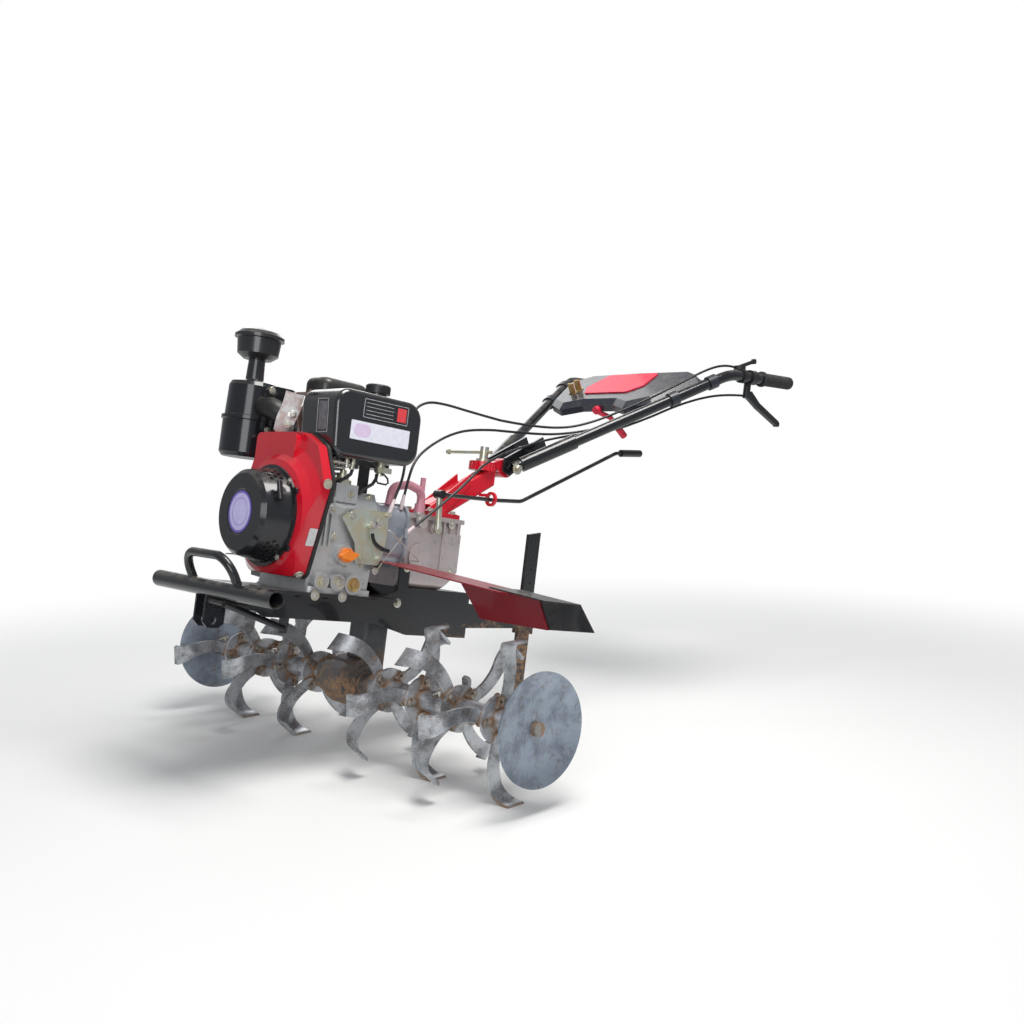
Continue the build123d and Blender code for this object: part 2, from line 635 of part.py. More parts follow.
def shroud_form(inset):
    """The shroud's outline cut by a turned dome about the crankshaft; inset draws it smaller all round."""
    dome = [
        (SHROUD_BACK - 1, 0), (SHROUD_BACK - 1, 240), (SHROUD_BACK + SHROUD_RIM, 240),
        (SHROUD_BACK + SHROUD_RIM, SHROUD_DOME + 18), (SHROUD_FRONT - 18, SHROUD_DOME - 4),
        (SHROUD_FRONT - 4, SHROUD_RING + 16), (SHROUD_FRONT, SHROUD_RING), (SHROUD_FRONT, 0),
    ]
    duct = [(-112, CRANK_Z), (40, CRANK_Z), (60, 588), (-116, 588)]
    with BuildPart(mode=Mode.PRIVATE) as form:
        with BuildSketch(Plane.YZ.offset(SHROUD_BACK)) as outline:
            with BuildLine():
                FilletPolyline(*SHROUD_OUTLINE, radius=SHROUD_CORNER, close=True)
            make_face()
            if inset:
                offset(amount=-inset, kind=Kind.INTERSECTION)
        extrude(to_extrude=outline.sketch, amount=SHROUD_FRONT - SHROUD_BACK)
        with BuildPart(mode=Mode.PRIVATE) as turned_dome:
            with BuildSketch(Plane.XY) as profile:
                with BuildLine():
                    Polyline(*[(x - (inset if 0 < r else 0), max(r - inset, 0)) for x, r in dome], close=True)
                make_face()
            revolve(profiles=profile.sketch, axis=Axis.X)
        with BuildPart(mode=Mode.PRIVATE) as duct_form:
            plate(Plane.YZ.offset(SHROUD_BACK), duct, SHROUD_FRONT - SHROUD_BACK - 14 - inset, corner=16)
        envelope = turned_dome.part.moved(Location((0, 0, CRANK_Z))) + duct_form.part
        add(envelope, mode=Mode.INTERSECT)
    return form.part


# Crankcase: the closed block of the engine, with its feet, bosses, pump seat and the crankshaft's flywheel
with BuildPart() as crankcase:
    case_middle = (CASE_FRONT + CASE_REAR) / 2
    with BuildSketch(Plane.XY.offset(DECK_TOP)):
        with Locations((case_middle, 0)):
            RectangleRounded(CASE_FRONT - CASE_REAR + 4, 2 * PLATE_Y, 12)
    extrude(amount=CASE_FOOT)
    case = [
        (-CASE_HALF, DECK_TOP + CASE_FOOT), (CASE_HALF - 8, DECK_TOP + CASE_FOOT), (CASE_HALF, CRANK_Z - 60),
        (CASE_HALF, CRANK_Z + 40), (CASE_HALF - 22, CASE_TOP), (-CASE_HALF, CASE_TOP),
    ]
    outline_face(CASE_REAR, case, 0, CASE_FRONT - CASE_REAR)
    flange = [(-98, 252), (104, 252), (168, 478), (142, 532), (-146, 532), (-160, 480)]
    outline_face(CASE_FRONT, flange, SHROUD_CORNER, CASE_FLANGE)
    # foot, drain and filler bosses on the near side
    NEAR_BOSSES = [
        # x, z, radius, how far it stands out
        (215, 248, 21, 14),
        (168, 248, 21, 14),
        (124, 246, 24, 16),
        (FILLER_X, FILLER_Z, 24, 16),
        (205, 420, 13, 8),
        (190, 355, 11, 8),
    ]
    for x, z, radius, stand in NEAR_BOSSES:
        boss((x, CASE_HALF - 12, z), (0, 1, 0), radius, stand + 12)
    for rib_x in (200, 214, 228):
        block((rib_x, CASE_HALF - 10, CRANK_Z - 56), (rib_x + 5, CASE_HALF + 7, CRANK_Z + 62))
    block((132, PUMP_Y - 34, CASE_TOP - 30), (196, PUMP_Y + 16, CASE_TOP + 14))
    boss((CASE_FRONT + CASE_FLANGE, 0, CRANK_Z), (1, 0, 0), 20, SHROUD_FRONT - CASE_FRONT - CASE_FLANGE)
    boss((CASE_FRONT + CASE_FLANGE + 10, 0, CRANK_Z), (1, 0, 0), FLYWHEEL_RADIUS, 30)
finish(crankcase, "crankcase")

# Cylinder with its fins, head and rocker cover
with BuildPart() as cylinder:
    boss((CYLINDER_X, CYLINDER_Y, CASE_TOP), (0, 0, 1), CYLINDER_RADIUS - 14, HEAD_BOTTOM - CASE_TOP)
    for fin in range(int((HEAD_BOTTOM - CASE_TOP) / FIN_PITCH)):
        with BuildSketch(Plane.XY.offset(CASE_TOP + FIN_PITCH / 2 + fin * FIN_PITCH)):
            with Locations((CYLINDER_X, CYLINDER_Y)):
                RectangleRounded(2 * CYLINDER_RADIUS, 2 * CYLINDER_RADIUS - 8, 20)
        extrude(amount=FIN_SHEET)
    head_y = CYLINDER_Y - 8
    with BuildSketch(Plane.XY.offset(HEAD_BOTTOM)):
        with Locations((CYLINDER_X, head_y)):
            RectangleRounded(HEAD_LENGTH, HEAD_WIDTH, 14)
    extrude(amount=HEAD_TOP - HEAD_BOTTOM)
    with BuildSketch(Plane.XY.offset(HEAD_TOP)):
        with Locations((CYLINDER_X - 10, head_y)):
            RectangleRounded(HEAD_LENGTH - 30, HEAD_WIDTH - 28, 20)
    extrude(amount=ROCKER_HEIGHT)
    fillet(faces().sort_by(Axis.Z)[-1].edges(), 6)
finish(cylinder, "cylinder")

# Fan shroud: the pressed cover over the flywheel, with its duct up to the cylinder, open behind
with BuildPart() as fan_shroud:
    add(shroud_form(0))
    with BuildPart(mode=Mode.PRIVATE) as inside:
        add(shroud_form(SHROUD_SHEET))
    add(inside.part, mode=Mode.SUBTRACT)
    boss((SHROUD_BACK, 0, CRANK_Z), (1, 0, 0), SHROUD_RING - 10, SHROUD_FRONT - SHROUD_BACK, mode=Mode.SUBTRACT)
    add(cylinder.part, mode=Mode.SUBTRACT)
finish(fan_shroud, "fan_shroud")

# Recoil starter: a deep cup with vent slots, its bolting ears and the rope guide
VENT_PATCHES = (75.0, 185.0, -60.0)
with BuildPart() as recoil_starter:
    cup = [
        (SHROUD_FRONT, RECOIL_RADIUS + 24), (SHROUD_FRONT + RECOIL_FLANGE, RECOIL_RADIUS + 24),
        (SHROUD_FRONT + RECOIL_FLANGE, RECOIL_RADIUS + 16), (RECOIL_FACE - 10, RECOIL_RADIUS + 4),
        (RECOIL_FACE, RECOIL_RADIUS - 6), (RECOIL_FACE, RECOIL_LABEL + 3), (RECOIL_FACE - 2, RECOIL_LABEL),
        (RECOIL_FACE - 2, 0), (RECOIL_FACE - 2 - RECOIL_SHEET, 0),
        (RECOIL_FACE - 2 - RECOIL_SHEET, RECOIL_RADIUS - 8), (RECOIL_FACE - 12, RECOIL_RADIUS + 1),
        (SHROUD_FRONT + 4, RECOIL_RADIUS + 13), (SHROUD_FRONT, RECOIL_RADIUS + 13),
    ]
    with BuildSketch(Plane.XY) as profile:
        with BuildLine():
            Polyline(*cup, close=True)
        make_face()
    revolve(profiles=profile.sketch, axis=Axis.X)
    with BuildPart(mode=Mode.PRIVATE) as vents:
        for patch in VENT_PATCHES:
            for column in range(VENT_COLUMNS):
                for row in range(VENT_ROWS):
                    turn = radians(patch + (column - (VENT_COLUMNS - 1) / 2 + 0.5 * (row % 2)) * VENT_PITCH)
                    centre = (SHROUD_FRONT + 19 + row * VENT_ROW_PITCH, 78 * cos(turn), 78 * sin(turn))
                    with BuildSketch(Plane(origin=centre, x_dir=(1, 0, 0), z_dir=(0, cos(turn), sin(turn)))) as vent:
                        Rectangle(VENT_SIZE, VENT_SIZE, rotation=45)
                    extrude(to_extrude=vent.sketch, amount=50)
    add(vents.part, mode=Mode.SUBTRACT)
    for ear in (30.0, -35.0, 150.0, 215.0):
        turn = radians(ear)
        reach_out = RECOIL_RADIUS + 26
        boss((SHROUD_FRONT, reach_out * cos(turn), reach_out * sin(turn)), (1, 0, 0), 9, RECOIL_FLANGE)
    guide = radians(28.0)
    guide_at = (SHROUD_FRONT + 34, (RECOIL_RADIUS + 4) * cos(guide), (RECOIL_RADIUS + 4) * sin(guide))
    boss(guide_at, (0.25, cos(guide), sin(guide)), 11, 22)
    handle_at = (guide_at[0] + 7, guide_at[1] + 24 * cos(guide), guide_at[2] + 24 * sin(guide) - 20)
    boss(handle_at, (0.1, -0.2, 1), 6.5, 42)
recoil_starter.part.position = (0, 0, CRANK_Z)
finish(recoil_starter, "recoil_starter")

# Speed control plate on the near side, with its slot, swing lever and cable stop
with BuildPart() as speed_plate:
    control = [(58, 298), (126, 298), (132, 345), (178, 404), (140, 430), (42, 430), (39, 372), (46, 324)]
    side_plate(control, PLATE_Y + PLATE_SHEET / 2, PLATE_SHEET, corner=5)
    with BuildSketch(Plane.XZ.offset(-PLATE_Y)) as slot:
        SlotArc(CenterArc((95, 372), 40, 215, 80), 9)
    extrude(to_extrude=slot.sketch, amount=PLATE_SHEET, mode=Mode.SUBTRACT)
    extrude(to_extrude=slot.sketch, amount=-PLATE_SHEET, mode=Mode.SUBTRACT)
    boss((95, PLATE_Y, 393), (0, 1, 0), 9, 14)
    arm = [(89, 390), (101, 390), (72, 312), (60, 316)]
    side_plate(arm, PLATE_Y + PLATE_SHEET + 3, 4)
    boss((66, PLATE_Y + PLATE_SHEET, 316), (0, 1, 0), 5, 14)
    boss((48, PLATE_Y + PLATE_SHEET, 424), (0, 1, 0), 6, 12)
    for spacer_x, spacer_z in ((150, 410), (112, 310)):
        boss((spacer_x, CASE_HALF, spacer_z), (0, 1, 0), 8, PLATE_Y - CASE_HALF)
    add(crankcase.part, mode=Mode.SUBTRACT)
finish(speed_plate, "speed_plate")

# Injection pump on its seat, with the delivery pipe to the head
with BuildPart() as injection_pump:
    seat_z = CASE_TOP + 14
    pump_at = (PUMP_X + 14, PUMP_Y - 9, seat_z)
    for radius, height in ((22, 10), (15, 26), (8, 34), (3.5, 42)):
        boss(pump_at, (0, 0, 1), radius, height)
    pipe_y = head_y + HEAD_WIDTH / 2 + 5.5
    pipe = [
        (pump_at[0], pump_at[1], seat_z + 42), (CYLINDER_X + 68, 20, seat_z + 42),
        (CYLINDER_X + 68, pipe_y, seat_z + 60),
        (CYLINDER_X + 68, pipe_y, HEAD_BOTTOM + 22),
    ]
    bar(pipe, 3.5, bend=12)
    boss((CYLINDER_X + 68, pipe_y + 3, HEAD_BOTTOM + 22), (0, -1, 0), 6, 12)
    add(cylinder.part, mode=Mode.SUBTRACT)
finish(injection_pump, "injection_pump")

# Oil filler cap with its two wings
with BuildPart() as oil_filler_cap:
    filler_y = CASE_HALF + 16
    boss((FILLER_X, filler_y, FILLER_Z), (0, 1, 0), 17, 12)
    wing = [(FILLER_X - 30, FILLER_Z + 6), (FILLER_X + 6, FILLER_Z + 12), (FILLER_X + 30, FILLER_Z - 6),
            (FILLER_X - 6, FILLER_Z - 12)]
    side_plate(wing, filler_y + 13, 18, corner=4)
finish(oil_filler_cap, "oil_filler_cap")

# Fuel tank: a moulded box with large end corners, rounded rims and a filler neck
with BuildPart() as fuel_tank:
    tank = [
        (TANK_REAR, TANK_BOTTOM + 8), (TANK_FRONT - 12, TANK_BOTTOM), (TANK_FRONT, TANK_TOP), (TANK_REAR, TANK_TOP),
    ]
    with BuildSketch(Plane.XZ.offset(-TANK_INNER_Y)) as outline:
        with BuildLine():
            FilletPolyline(*tank, close=True,
                           radius=[TANK_REAR_CORNER, TANK_FRONT_CORNER, TANK_FRONT_CORNER + 12, TANK_REAR_CORNER + 6])
        make_face()
    extrude(to_extrude=outline.sketch, amount=TANK_INNER_Y - TANK_OUTER_Y)
    fillet(faces().sort_by(Axis.Y)[-1].edges() + faces().sort_by(Axis.Y)[0].edges(), TANK_RIM)
    boss((NECK_X, NECK_Y, TANK_TOP - 4), (0, 0, 1), NECK_RADIUS, NECK_HEIGHT + 4)
    for spigot_x in (152, 214):
        boss((spigot_x, TANK_OUTER_Y - 42, TANK_BOTTOM + 8), (0, 0, -1), 8, 26)
finish(fuel_tank, "fuel_tank")

# Fuel cap
with BuildPart() as fuel_cap:
    boss((NECK_X, NECK_Y, TANK_TOP + NECK_HEIGHT), (0, 0, 1), CAP_RADIUS, CAP_HEIGHT)
    fillet(faces().sort_by(Axis.Z)[-1].edges(), 6)
finish(fuel_cap, "fuel_cap")

# Fuel cock under the tank, with its handle
with BuildPart() as fuel_cock:
    boss((73, TANK_OUTER_Y - 44, TANK_BOTTOM + 16), (0, 0, -1), 9, 40)
    boss((73, TANK_OUTER_Y - 60, TANK_BOTTOM - 10), (0, 1, 0), 8, 30)
    block((52, TANK_OUTER_Y - 32, TANK_BOTTOM - 17), (94, TANK_OUTER_Y - 26, TANK_BOTTOM - 4))
    add(fuel_tank.part, mode=Mode.SUBTRACT)
finish(fuel_cock, "fuel_cock")

# Tank bracket between the crankcase and the tank
with BuildPart() as tank_bracket:
    for leg_x in (TANK_REAR + 75, TANK_FRONT - 76):
        side = [
            (leg_x - 15, CASE_TOP), (leg_x + 15, CASE_TOP), (leg_x + 15, TANK_BOTTOM + 4), (leg_x - 15, TANK_BOTTOM + 4),
        ]
        side_plate(side, 30, 5)
    block((TANK_REAR + 50, 10, TANK_BOTTOM - 8), (TANK_FRONT - 45, 96, TANK_BOTTOM + 5))
    add(fuel_tank.part, mode=Mode.SUBTRACT)
    add(fuel_cock.part, mode=Mode.SUBTRACT)
finish(tank_bracket, "tank_bracket")

# Air cleaner canister
with BuildPart() as air_cleaner:
    rim = CLEANER_RADIUS
    top = CLEANER_BOTTOM + CLEANER_HEIGHT
    canister = [
        (0, CLEANER_BOTTOM), (rim - 8, CLEANER_BOTTOM), (rim, CLEANER_BOTTOM + 10), (rim, CLEANER_BOTTOM + 92),
        (rim + 4, CLEANER_BOTTOM + 94), (rim + 4, CLEANER_BOTTOM + 103), (rim - 3, CLEANER_BOTTOM + 105),
        (rim - 5, top - 14), (rim - 10, top - 4), (rim - 22, top), (0, top),
    ]
    turned(canister, CLEANER_X, CLEANER_Y)
finish(air_cleaner, "air_cleaner")

# Pre-cleaner: stack pipe, clear cup and mushroom cap
with BuildPart() as pre_cleaner:
    stack = [
        (0, top), (STACK_RADIUS + 4, top), (STACK_RADIUS + 2, top + 6), (STACK_RADIUS, top + STACK_HEIGHT),
        (CUP_RADIUS - 20, top + STACK_HEIGHT), (CUP_RADIUS - 4, top + STACK_HEIGHT + 12),
        (CUP_RADIUS, top + STACK_HEIGHT + 50), (CUP_RADIUS + 7, top + STACK_HEIGHT + 52),
        (CUP_RADIUS + 7, top + STACK_HEIGHT + 60), (CUP_RADIUS - 4, top + STACK_HEIGHT + 70),
        (CUP_RADIUS - 26, top + STACK_HEIGHT + 78), (0, top + STACK_HEIGHT + 80),
    ]
    turned(stack, CLEANER_X, CLEANER_Y)
finish(pre_cleaner, "pre_cleaner")

# Intake elbow from the air cleaner to the head
with BuildPart() as intake_elbow:
    elbow = [
        (CLEANER_X, CLEANER_Y + 20, CLEANER_BOTTOM + 132),
        (CLEANER_X, CLEANER_Y + CLEANER_RADIUS + 36, CLEANER_BOTTOM + 128),
        (CYLINDER_X + HEAD_LENGTH / 2 - 20, head_y + 10, HEAD_TOP - 30),
    ]
    bar(elbow, ELBOW_RADIUS, bend=34)
    add(air_cleaner.part, mode=Mode.SUBTRACT)
    add(cylinder.part, mode=Mode.SUBTRACT)
finish(intake_elbow, "intake_elbow")

# Heat shield: a bent bright plate over the intake side of the head
with BuildPart() as heat_shield:
    shield_y = head_y + HEAD_WIDTH / 2
    shield = [
        (178, HEAD_BOTTOM + 36), (238, HEAD_BOTTOM + 30), (254, HEAD_BOTTOM + 66), (228, HEAD_TOP + 66),
        (176, HEAD_TOP + 60),
    ]
    side_plate(shield, shield_y + 2, 4)
    cap_top = HEAD_TOP + 60
    block((178, head_y, cap_top - 4), (226, shield_y + 4, cap_top))
    add(cylinder.part, mode=Mode.SUBTRACT)
    add(intake_elbow.part, mode=Mode.SUBTRACT)
finish(heat_shield, "heat_shield")

# Muffler over the rear of the head
with BuildPart() as muffler:
    with BuildSketch(Plane.XY.offset(HEAD_TOP + 40)):
        with Locations((MUFFLER_X, MUFFLER_Y)):
            RectangleRounded(MUFFLER_LENGTH, MUFFLER_WIDTH, 30)
    extrude(amount=MUFFLER_HEIGHT)
    fillet(faces().sort_by(Axis.Z)[-1].edges(), 20)
    boss((MUFFLER_X + 20, MUFFLER_Y - 20, HEAD_TOP - 30), (0, 0, 1), 18, 80)
    boss((MUFFLER_X - 30, MUFFLER_Y - MUFFLER_WIDTH / 2 + 8, HEAD_TOP + 76), (0, -1, 0), 14, 44)
    add(cylinder.part, mode=Mode.SUBTRACT)
finish(muffler, "muffler")

# Clutch housing between the engine and the gearbox, with a flange at each end and a lug for the clutch cable
with BuildPart() as clutch_housing:
    bell = [(-CASE_HALF + 8, 300), (CASE_HALF - 8, 300), (CASE_HALF - 8, 452), (-CASE_HALF + 8, 452)]
    outline_face(GEARBOX_FRONT, bell, 40, CASE_REAR - GEARBOX_FRONT)
    rim = [(-CASE_HALF, 294), (CASE_HALF, 294), (CASE_HALF, 458), (-CASE_HALF, 458)]
    outline_face(GEARBOX_FRONT, rim, 42, 8)
    outline_face(CASE_REAR - 10, rim, 42, 10)
    block((-15, 88, 374), (-7, 126, 398))
finish(clutch_housing, "clutch_housing")

# Gearbox casting on the cradle: body, top flange, ribs and shaft bosses
with BuildPart() as gearbox:
    body = [
        (GEARBOX_FRONT, CRADLE_TOP), (GEARBOX_REAR + 46, CRADLE_TOP), (GEARBOX_REAR, CRADLE_TOP + 42),
        (GEARBOX_REAR, GEARBOX_TOP), (GEARBOX_FRONT, GEARBOX_TOP),
    ]
    side_plate(body, 0, 2 * GEARBOX_HALF)
    fillet(edges().filter_by(Axis.X).sort_by(Axis.Z)[:2], 18)
    block((GEARBOX_REAR - 6, -GEARBOX_HALF - 6, GEARBOX_TOP - 12), (GEARBOX_FRONT, GEARBOX_HALF + 6, GEARBOX_TOP))
    for side in (-1, 1):
        face_y = side * GEARBOX_HALF
        rib_foot = (GEARBOX_REAR, face_y - 2 * side, CRADLE_TOP + 48)
        block(rib_foot, (GEARBOX_REAR + 62, face_y + 5 * side, GEARBOX_TOP - 40))
        for rib_x in (GEARBOX_REAR + 10, GEARBOX_REAR + 34, GEARBOX_REAR + 58):
            block((rib_x, face_y - side, GEARBOX_TOP - 62), (rib_x + 5, face_y + 6 * side, GEARBOX_TOP - 6))
        boss((-95, face_y - side, 418), (0, side, 0), 15, 9)
        boss((-100, face_y - side, 330), (0, side, 0), 36, 6)
    boss((GEAR_LEVER_X, GEARBOX_HALF - 1, 408), (0, 1, 0), 15, 14)
    boss((BREATHER_X, 40, GEARBOX_TOP - 2), (0, 0, 1), 15, 8)
finish(gearbox, "gearbox")

# Gear lever on its shaft, and the long shift rod back to the operator
lever_y = GEARBOX_HALF + 22
with BuildPart() as gear_lever:
    boss((GEAR_LEVER_X, GEARBOX_HALF + 13, 408), (0, 1, 0), 12, 12)
    bar([(GEAR_LEVER_X, lever_y, 408), (GEAR_LEVER_X + 9, lever_y, 494)], 8)
finish(gear_lever, "gear_lever")

with BuildPart() as shift_rod:
    boss((GEAR_LEVER_X + 9, lever_y - 14, 497), (0, 1, 0), 11, 28)
    rod = [
        (GEAR_LEVER_X + 8, lever_y, 497), (-348, SHIFT_ROD_Y, 508), (-448, SHIFT_ROD_Y, 517),
        (-824, SHIFT_ROD_Y, 711), (-866, SHIFT_ROD_Y, 717),
    ]
    bar(rod, SHIFT_ROD_RADIUS, bend=60)
    bar([(-846, SHIFT_ROD_Y, 714.2), (-935, SHIFT_ROD_Y, 727)], 11)
    add(gear_lever.part, mode=Mode.SUBTRACT)
finish(shift_rod, "shift_rod")

# Breather hose from the clutch housing's top to a fitting on the gearbox
with BuildPart() as breather_hose:
    hose = [(0, 56, 452), (-6, 56, 500), (-60, 52, 512), (BREATHER_X, 42, 500), (BREATHER_X, 40, GEARBOX_TOP + 6)]
    bar(hose, 11, bend=[26, 40, 26])
    boss((BREATHER_X, 40, GEARBOX_TOP + 6), (0, 0, 1), 14, 22)
    boss((BREATHER_X, 41, 500), (0, 0, 1), 7, 36)
    add(clutch_housing.part, mode=Mode.SUBTRACT)
    add(gearbox.part, mode=Mode.SUBTRACT)
finish(breather_hose, "breather_hose")

# Handle post: flange, leaning box tube, swivel plate and the eye that guides the shift rod
with BuildPart() as handle_post:
    with BuildSketch(Plane.XY.offset(GEARBOX_TOP)):
        with Locations((POST_BASE_X - 10, 0)):
            RectangleRounded(POST_FOOT_LENGTH, POST_FOOT_WIDTH, 10)
    extrude(amount=POST_FLANGE)
    post_start = Vector(POST_BASE_X + 10, 0, GEARBOX_TOP + POST_FLANGE - 2)
    post_end = Vector(SWIVEL_X - 60, 0, SWIVEL_Z + 8)
    post_plane = Plane(origin=post_start, x_dir=(0, 1, 0), z_dir=post_end - post_start)
    with BuildSketch(post_plane) as section:
        RectangleRounded(POST_SIZE, POST_SIZE, 6)
        RectangleRounded(POST_SIZE - 2 * POST_WALL, POST_SIZE - 2 * POST_WALL, 3, mode=Mode.SUBTRACT)
    extrude(to_extrude=section.sketch, amount=(post_end - post_start).length)
    gusset = [
        (POST_BASE_X + 42, GEARBOX_TOP + POST_FLANGE), (POST_BASE_X - 30, GEARBOX_TOP + POST_FLANGE),
        (SWIVEL_X + 60, SWIVEL_Z - 46), (SWIVEL_X + 66, SWIVEL_Z - 20),
    ]
    for side in (-1, 1):
        side_plate(gusset, side * (POST_SIZE / 2 + 2), 4)
    plate_bottom = SWIVEL_Z - 2
    split(bisect_by=Plane.XY.offset(plate_bottom), keep=Keep.BOTTOM)
    split(bisect_by=Plane.XY.offset(GEARBOX_TOP), keep=Keep.TOP)
    boss((SWIVEL_X, 0, plate_bottom), (0, 0, 1), SWIVEL_RADIUS, SWIVEL_PLATE)
    with BuildPart(mode=Mode.PRIVATE) as beyond:
        block((SWIVEL_X - 120, -60, plate_bottom - 80), (SWIVEL_X, 60, plate_bottom + SWIVEL_PLATE))
        boss((SWIVEL_X, 0, plate_bottom - 80), (0, 0, 1), SWIVEL_RADIUS, 80 + SWIVEL_PLATE, mode=Mode.SUBTRACT)
    add(beyond.part, mode=Mode.SUBTRACT)
    for tooth in range(SWIVEL_TEETH):
        turn = 2 * pi * tooth / SWIVEL_TEETH
        at = (SWIVEL_X + (SWIVEL_RADIUS + 1) * cos(turn), (SWIVEL_RADIUS + 1) * sin(turn), plate_bottom + 3)
        boss(at, (0, 0, 1), 3, SWIVEL_PLATE, mode=Mode.SUBTRACT)
    guide_z = 508 - (SWIVEL_X - GUIDE_X) * 0.05
    boss((GUIDE_X, SHIFT_ROD_Y, guide_z), (-1, 0, 0), 20, 8, bore=13)
    block((GUIDE_X - 8, POST_SIZE / 2 - 2, guide_z + 6), (GUIDE_X, SHIFT_ROD_Y - 12, guide_z + 14))
finish(handle_post, "handle_post")

# Swivel head: the upper plate and the lug that carries the handlebar
plate_top = plate_bottom + SWIVEL_PLATE + SWIVEL_GAP
with BuildPart() as handle_head:
    boss((SWIVEL_X, 0, plate_top), (0, 0, 1), SWIVEL_RADIUS, SWIVEL_PLATE)
    boss((PIVOT_X, -HEAD_HALF, PIVOT_Z), (0, 1, 0), HEAD_LUG_RADIUS, 2 * HEAD_HALF)
    web = [
        (PIVOT_X, PIVOT_Z - HEAD_LUG_RADIUS), (SWIVEL_X - 30, plate_top), (SWIVEL_X - 10, plate_top + SWIVEL_PLATE),
        (PIVOT_X, PIVOT_Z + HEAD_LUG_RADIUS),
    ]
    side_plate(web, 0, 2 * HEAD_HALF)
    with BuildPart(mode=Mode.PRIVATE) as under_plate:
        boss((SWIVEL_X, 0, plate_top - 60), (0, 0, 1), SWIVEL_RADIUS + 4, 60)
    add(under_plate.part, mode=Mode.SUBTRACT)
    for tooth in range(SWIVEL_TEETH):
        turn = 2 * pi * tooth / SWIVEL_TEETH
        if abs(tooth - SWIVEL_TEETH / 2) > 2:
            at = (SWIVEL_X + (SWIVEL_RADIUS + 1) * cos(turn), (SWIVEL_RADIUS + 1) * sin(turn), plate_top)
            boss(at, (0, 0, 1), 3, SWIVEL_PLATE - 3, mode=Mode.SUBTRACT)
    boss((PIVOT_X, -HEAD_HALF, PIVOT_Z), (0, 1, 0), PIVOT_RADIUS + PIVOT_GAP, 2 * HEAD_HALF, mode=Mode.SUBTRACT)
finish(handle_head, "handle_head")

# Clamp screw of the swivel, with its long cross handle
with BuildPart() as post_clamp:
    screw_bottom = plate_top + SWIVEL_PLATE
    boss((SWIVEL_X, 0, screw_bottom), (0, 0, 1), 20, 8)
    boss((SWIVEL_X, 0, screw_bottom), (0, 0, 1), SCREW_RADIUS, SCREW_TOP - screw_bottom)
    boss((SWIVEL_X, CROSSBAR_RIGHT, SCREW_TOP - 15), (0, 1, 0), CROSSBAR_RADIUS, CROSSBAR_LEFT - CROSSBAR_RIGHT)
    boss((SWIVEL_X, CROSSBAR_RIGHT, SCREW_TOP - 15), (0, 1, 0), CROSSBAR_RADIUS + 2.5, 8)
    add(handle_head.part, mode=Mode.SUBTRACT)
finish(post_clamp, "post_clamp")

# Handlebar: two tubes, their cheek plates and the pivot bolt
slope = atan2(HANDLE_BEND_Z - PIVOT_Z, PIVOT_X - HANDLE_BEND_X)
tube_length = hypot(HANDLE_BEND_Z - PIVOT_Z, PIVOT_X - HANDLE_BEND_X)
handle_plane = Plane(origin=(PIVOT_X, 0, PIVOT_Z), x_dir=(0, 1, 0), z_dir=(sin(slope), 0, cos(slope)))


def on_handle(y, along, height):
    """A point by its distance from the pivot along the slope of the tubes and its height over them."""
    return handle_plane.from_local_coords(Vector(y, along, height))


with BuildPart() as handlebar:
    cheek_inner = HEAD_HALF + 6
    for side in (-1, 1):
        tube = [
            (PIVOT_X, side * TUBE_APEX_Y, PIVOT_Z),
            (HANDLE_BEND_X, side * HANDLE_BEND_Y, HANDLE_BEND_Z),
            (GRIP_END_X, side * HANDLE_BEND_Y, GRIP_END_Z),
        ]
        bar(tube, TUBE_RADIUS, bend=HANDLE_BEND_RADIUS, bore=TUBE_RADIUS - TUBE_WALL)
        cheek = [
            (PIVOT_X + 22, PIVOT_Z - 12), (PIVOT_X + 20, PIVOT_Z + 26), (PIVOT_X - 118, PIVOT_Z + 108),
            (PIVOT_X - 134, PIVOT_Z + 84), (PIVOT_X - 4, PIVOT_Z - 22),
        ]
        side_plate(cheek, side * (cheek_inner + CHEEK_SHEET / 2), CHEEK_SHEET)
        foot = on_handle(side * (TUBE_APEX_Y + 34), 108, 0)
        block((foot.X - 14, side * cheek_inner, foot.Z - 14), (foot.X + 14, side * (TUBE_APEX_Y + 36), foot.Z + 6))
    cross = on_handle(0, 106, 8)
    boss((cross.X, -cheek_inner - 2, cross.Z), (0, 1, 0), 12, 2 * cheek_inner + 4)
    boss((PIVOT_X, -cheek_inner - 14, PIVOT_Z), (0, 1, 0), PIVOT_RADIUS, 2 * cheek_inner + 28)
    for side in (-1, 1):
        start = Vector(PIVOT_X, side * TUBE_APEX_Y, PIVOT_Z)
        run = Vector(HANDLE_BEND_X - PIVOT_X, side * (HANDLE_BEND_Y - TUBE_APEX_Y), HANDLE_BEND_Z - PIVOT_Z).normalized()
        boss(start + run * SLEEVE_START, run, SLEEVE_RADIUS, SLEEVE_END - SLEEVE_START, bore=TUBE_RADIUS)
        boss(start, run, TUBE_RADIUS - TUBE_WALL, tube_length * 0.9, mode=Mode.SUBTRACT)
finish(handlebar, "handlebar")

# Console: a crowned cover between the tubes, open below, on two clamps to each tube
console_half = [
    # y, distance along the tubes
    (0, CONSOLE_ARCH), (62, CONSOLE_ARCH), (CONSOLE_FRONT_HALF, CONSOLE_FRONT), (CONSOLE_FLARE_HALF, CONSOLE_FLARE),
    (CONSOLE_SHOULDER_HALF, CONSOLE_SHOULDER), (CONSOLE_REAR_HALF, CONSOLE_REAR), (0, CONSOLE_REAR + 6),
]
console_outline = console_half[1:] + [(-y, along) for y, along in reversed(console_half[1:-1])]


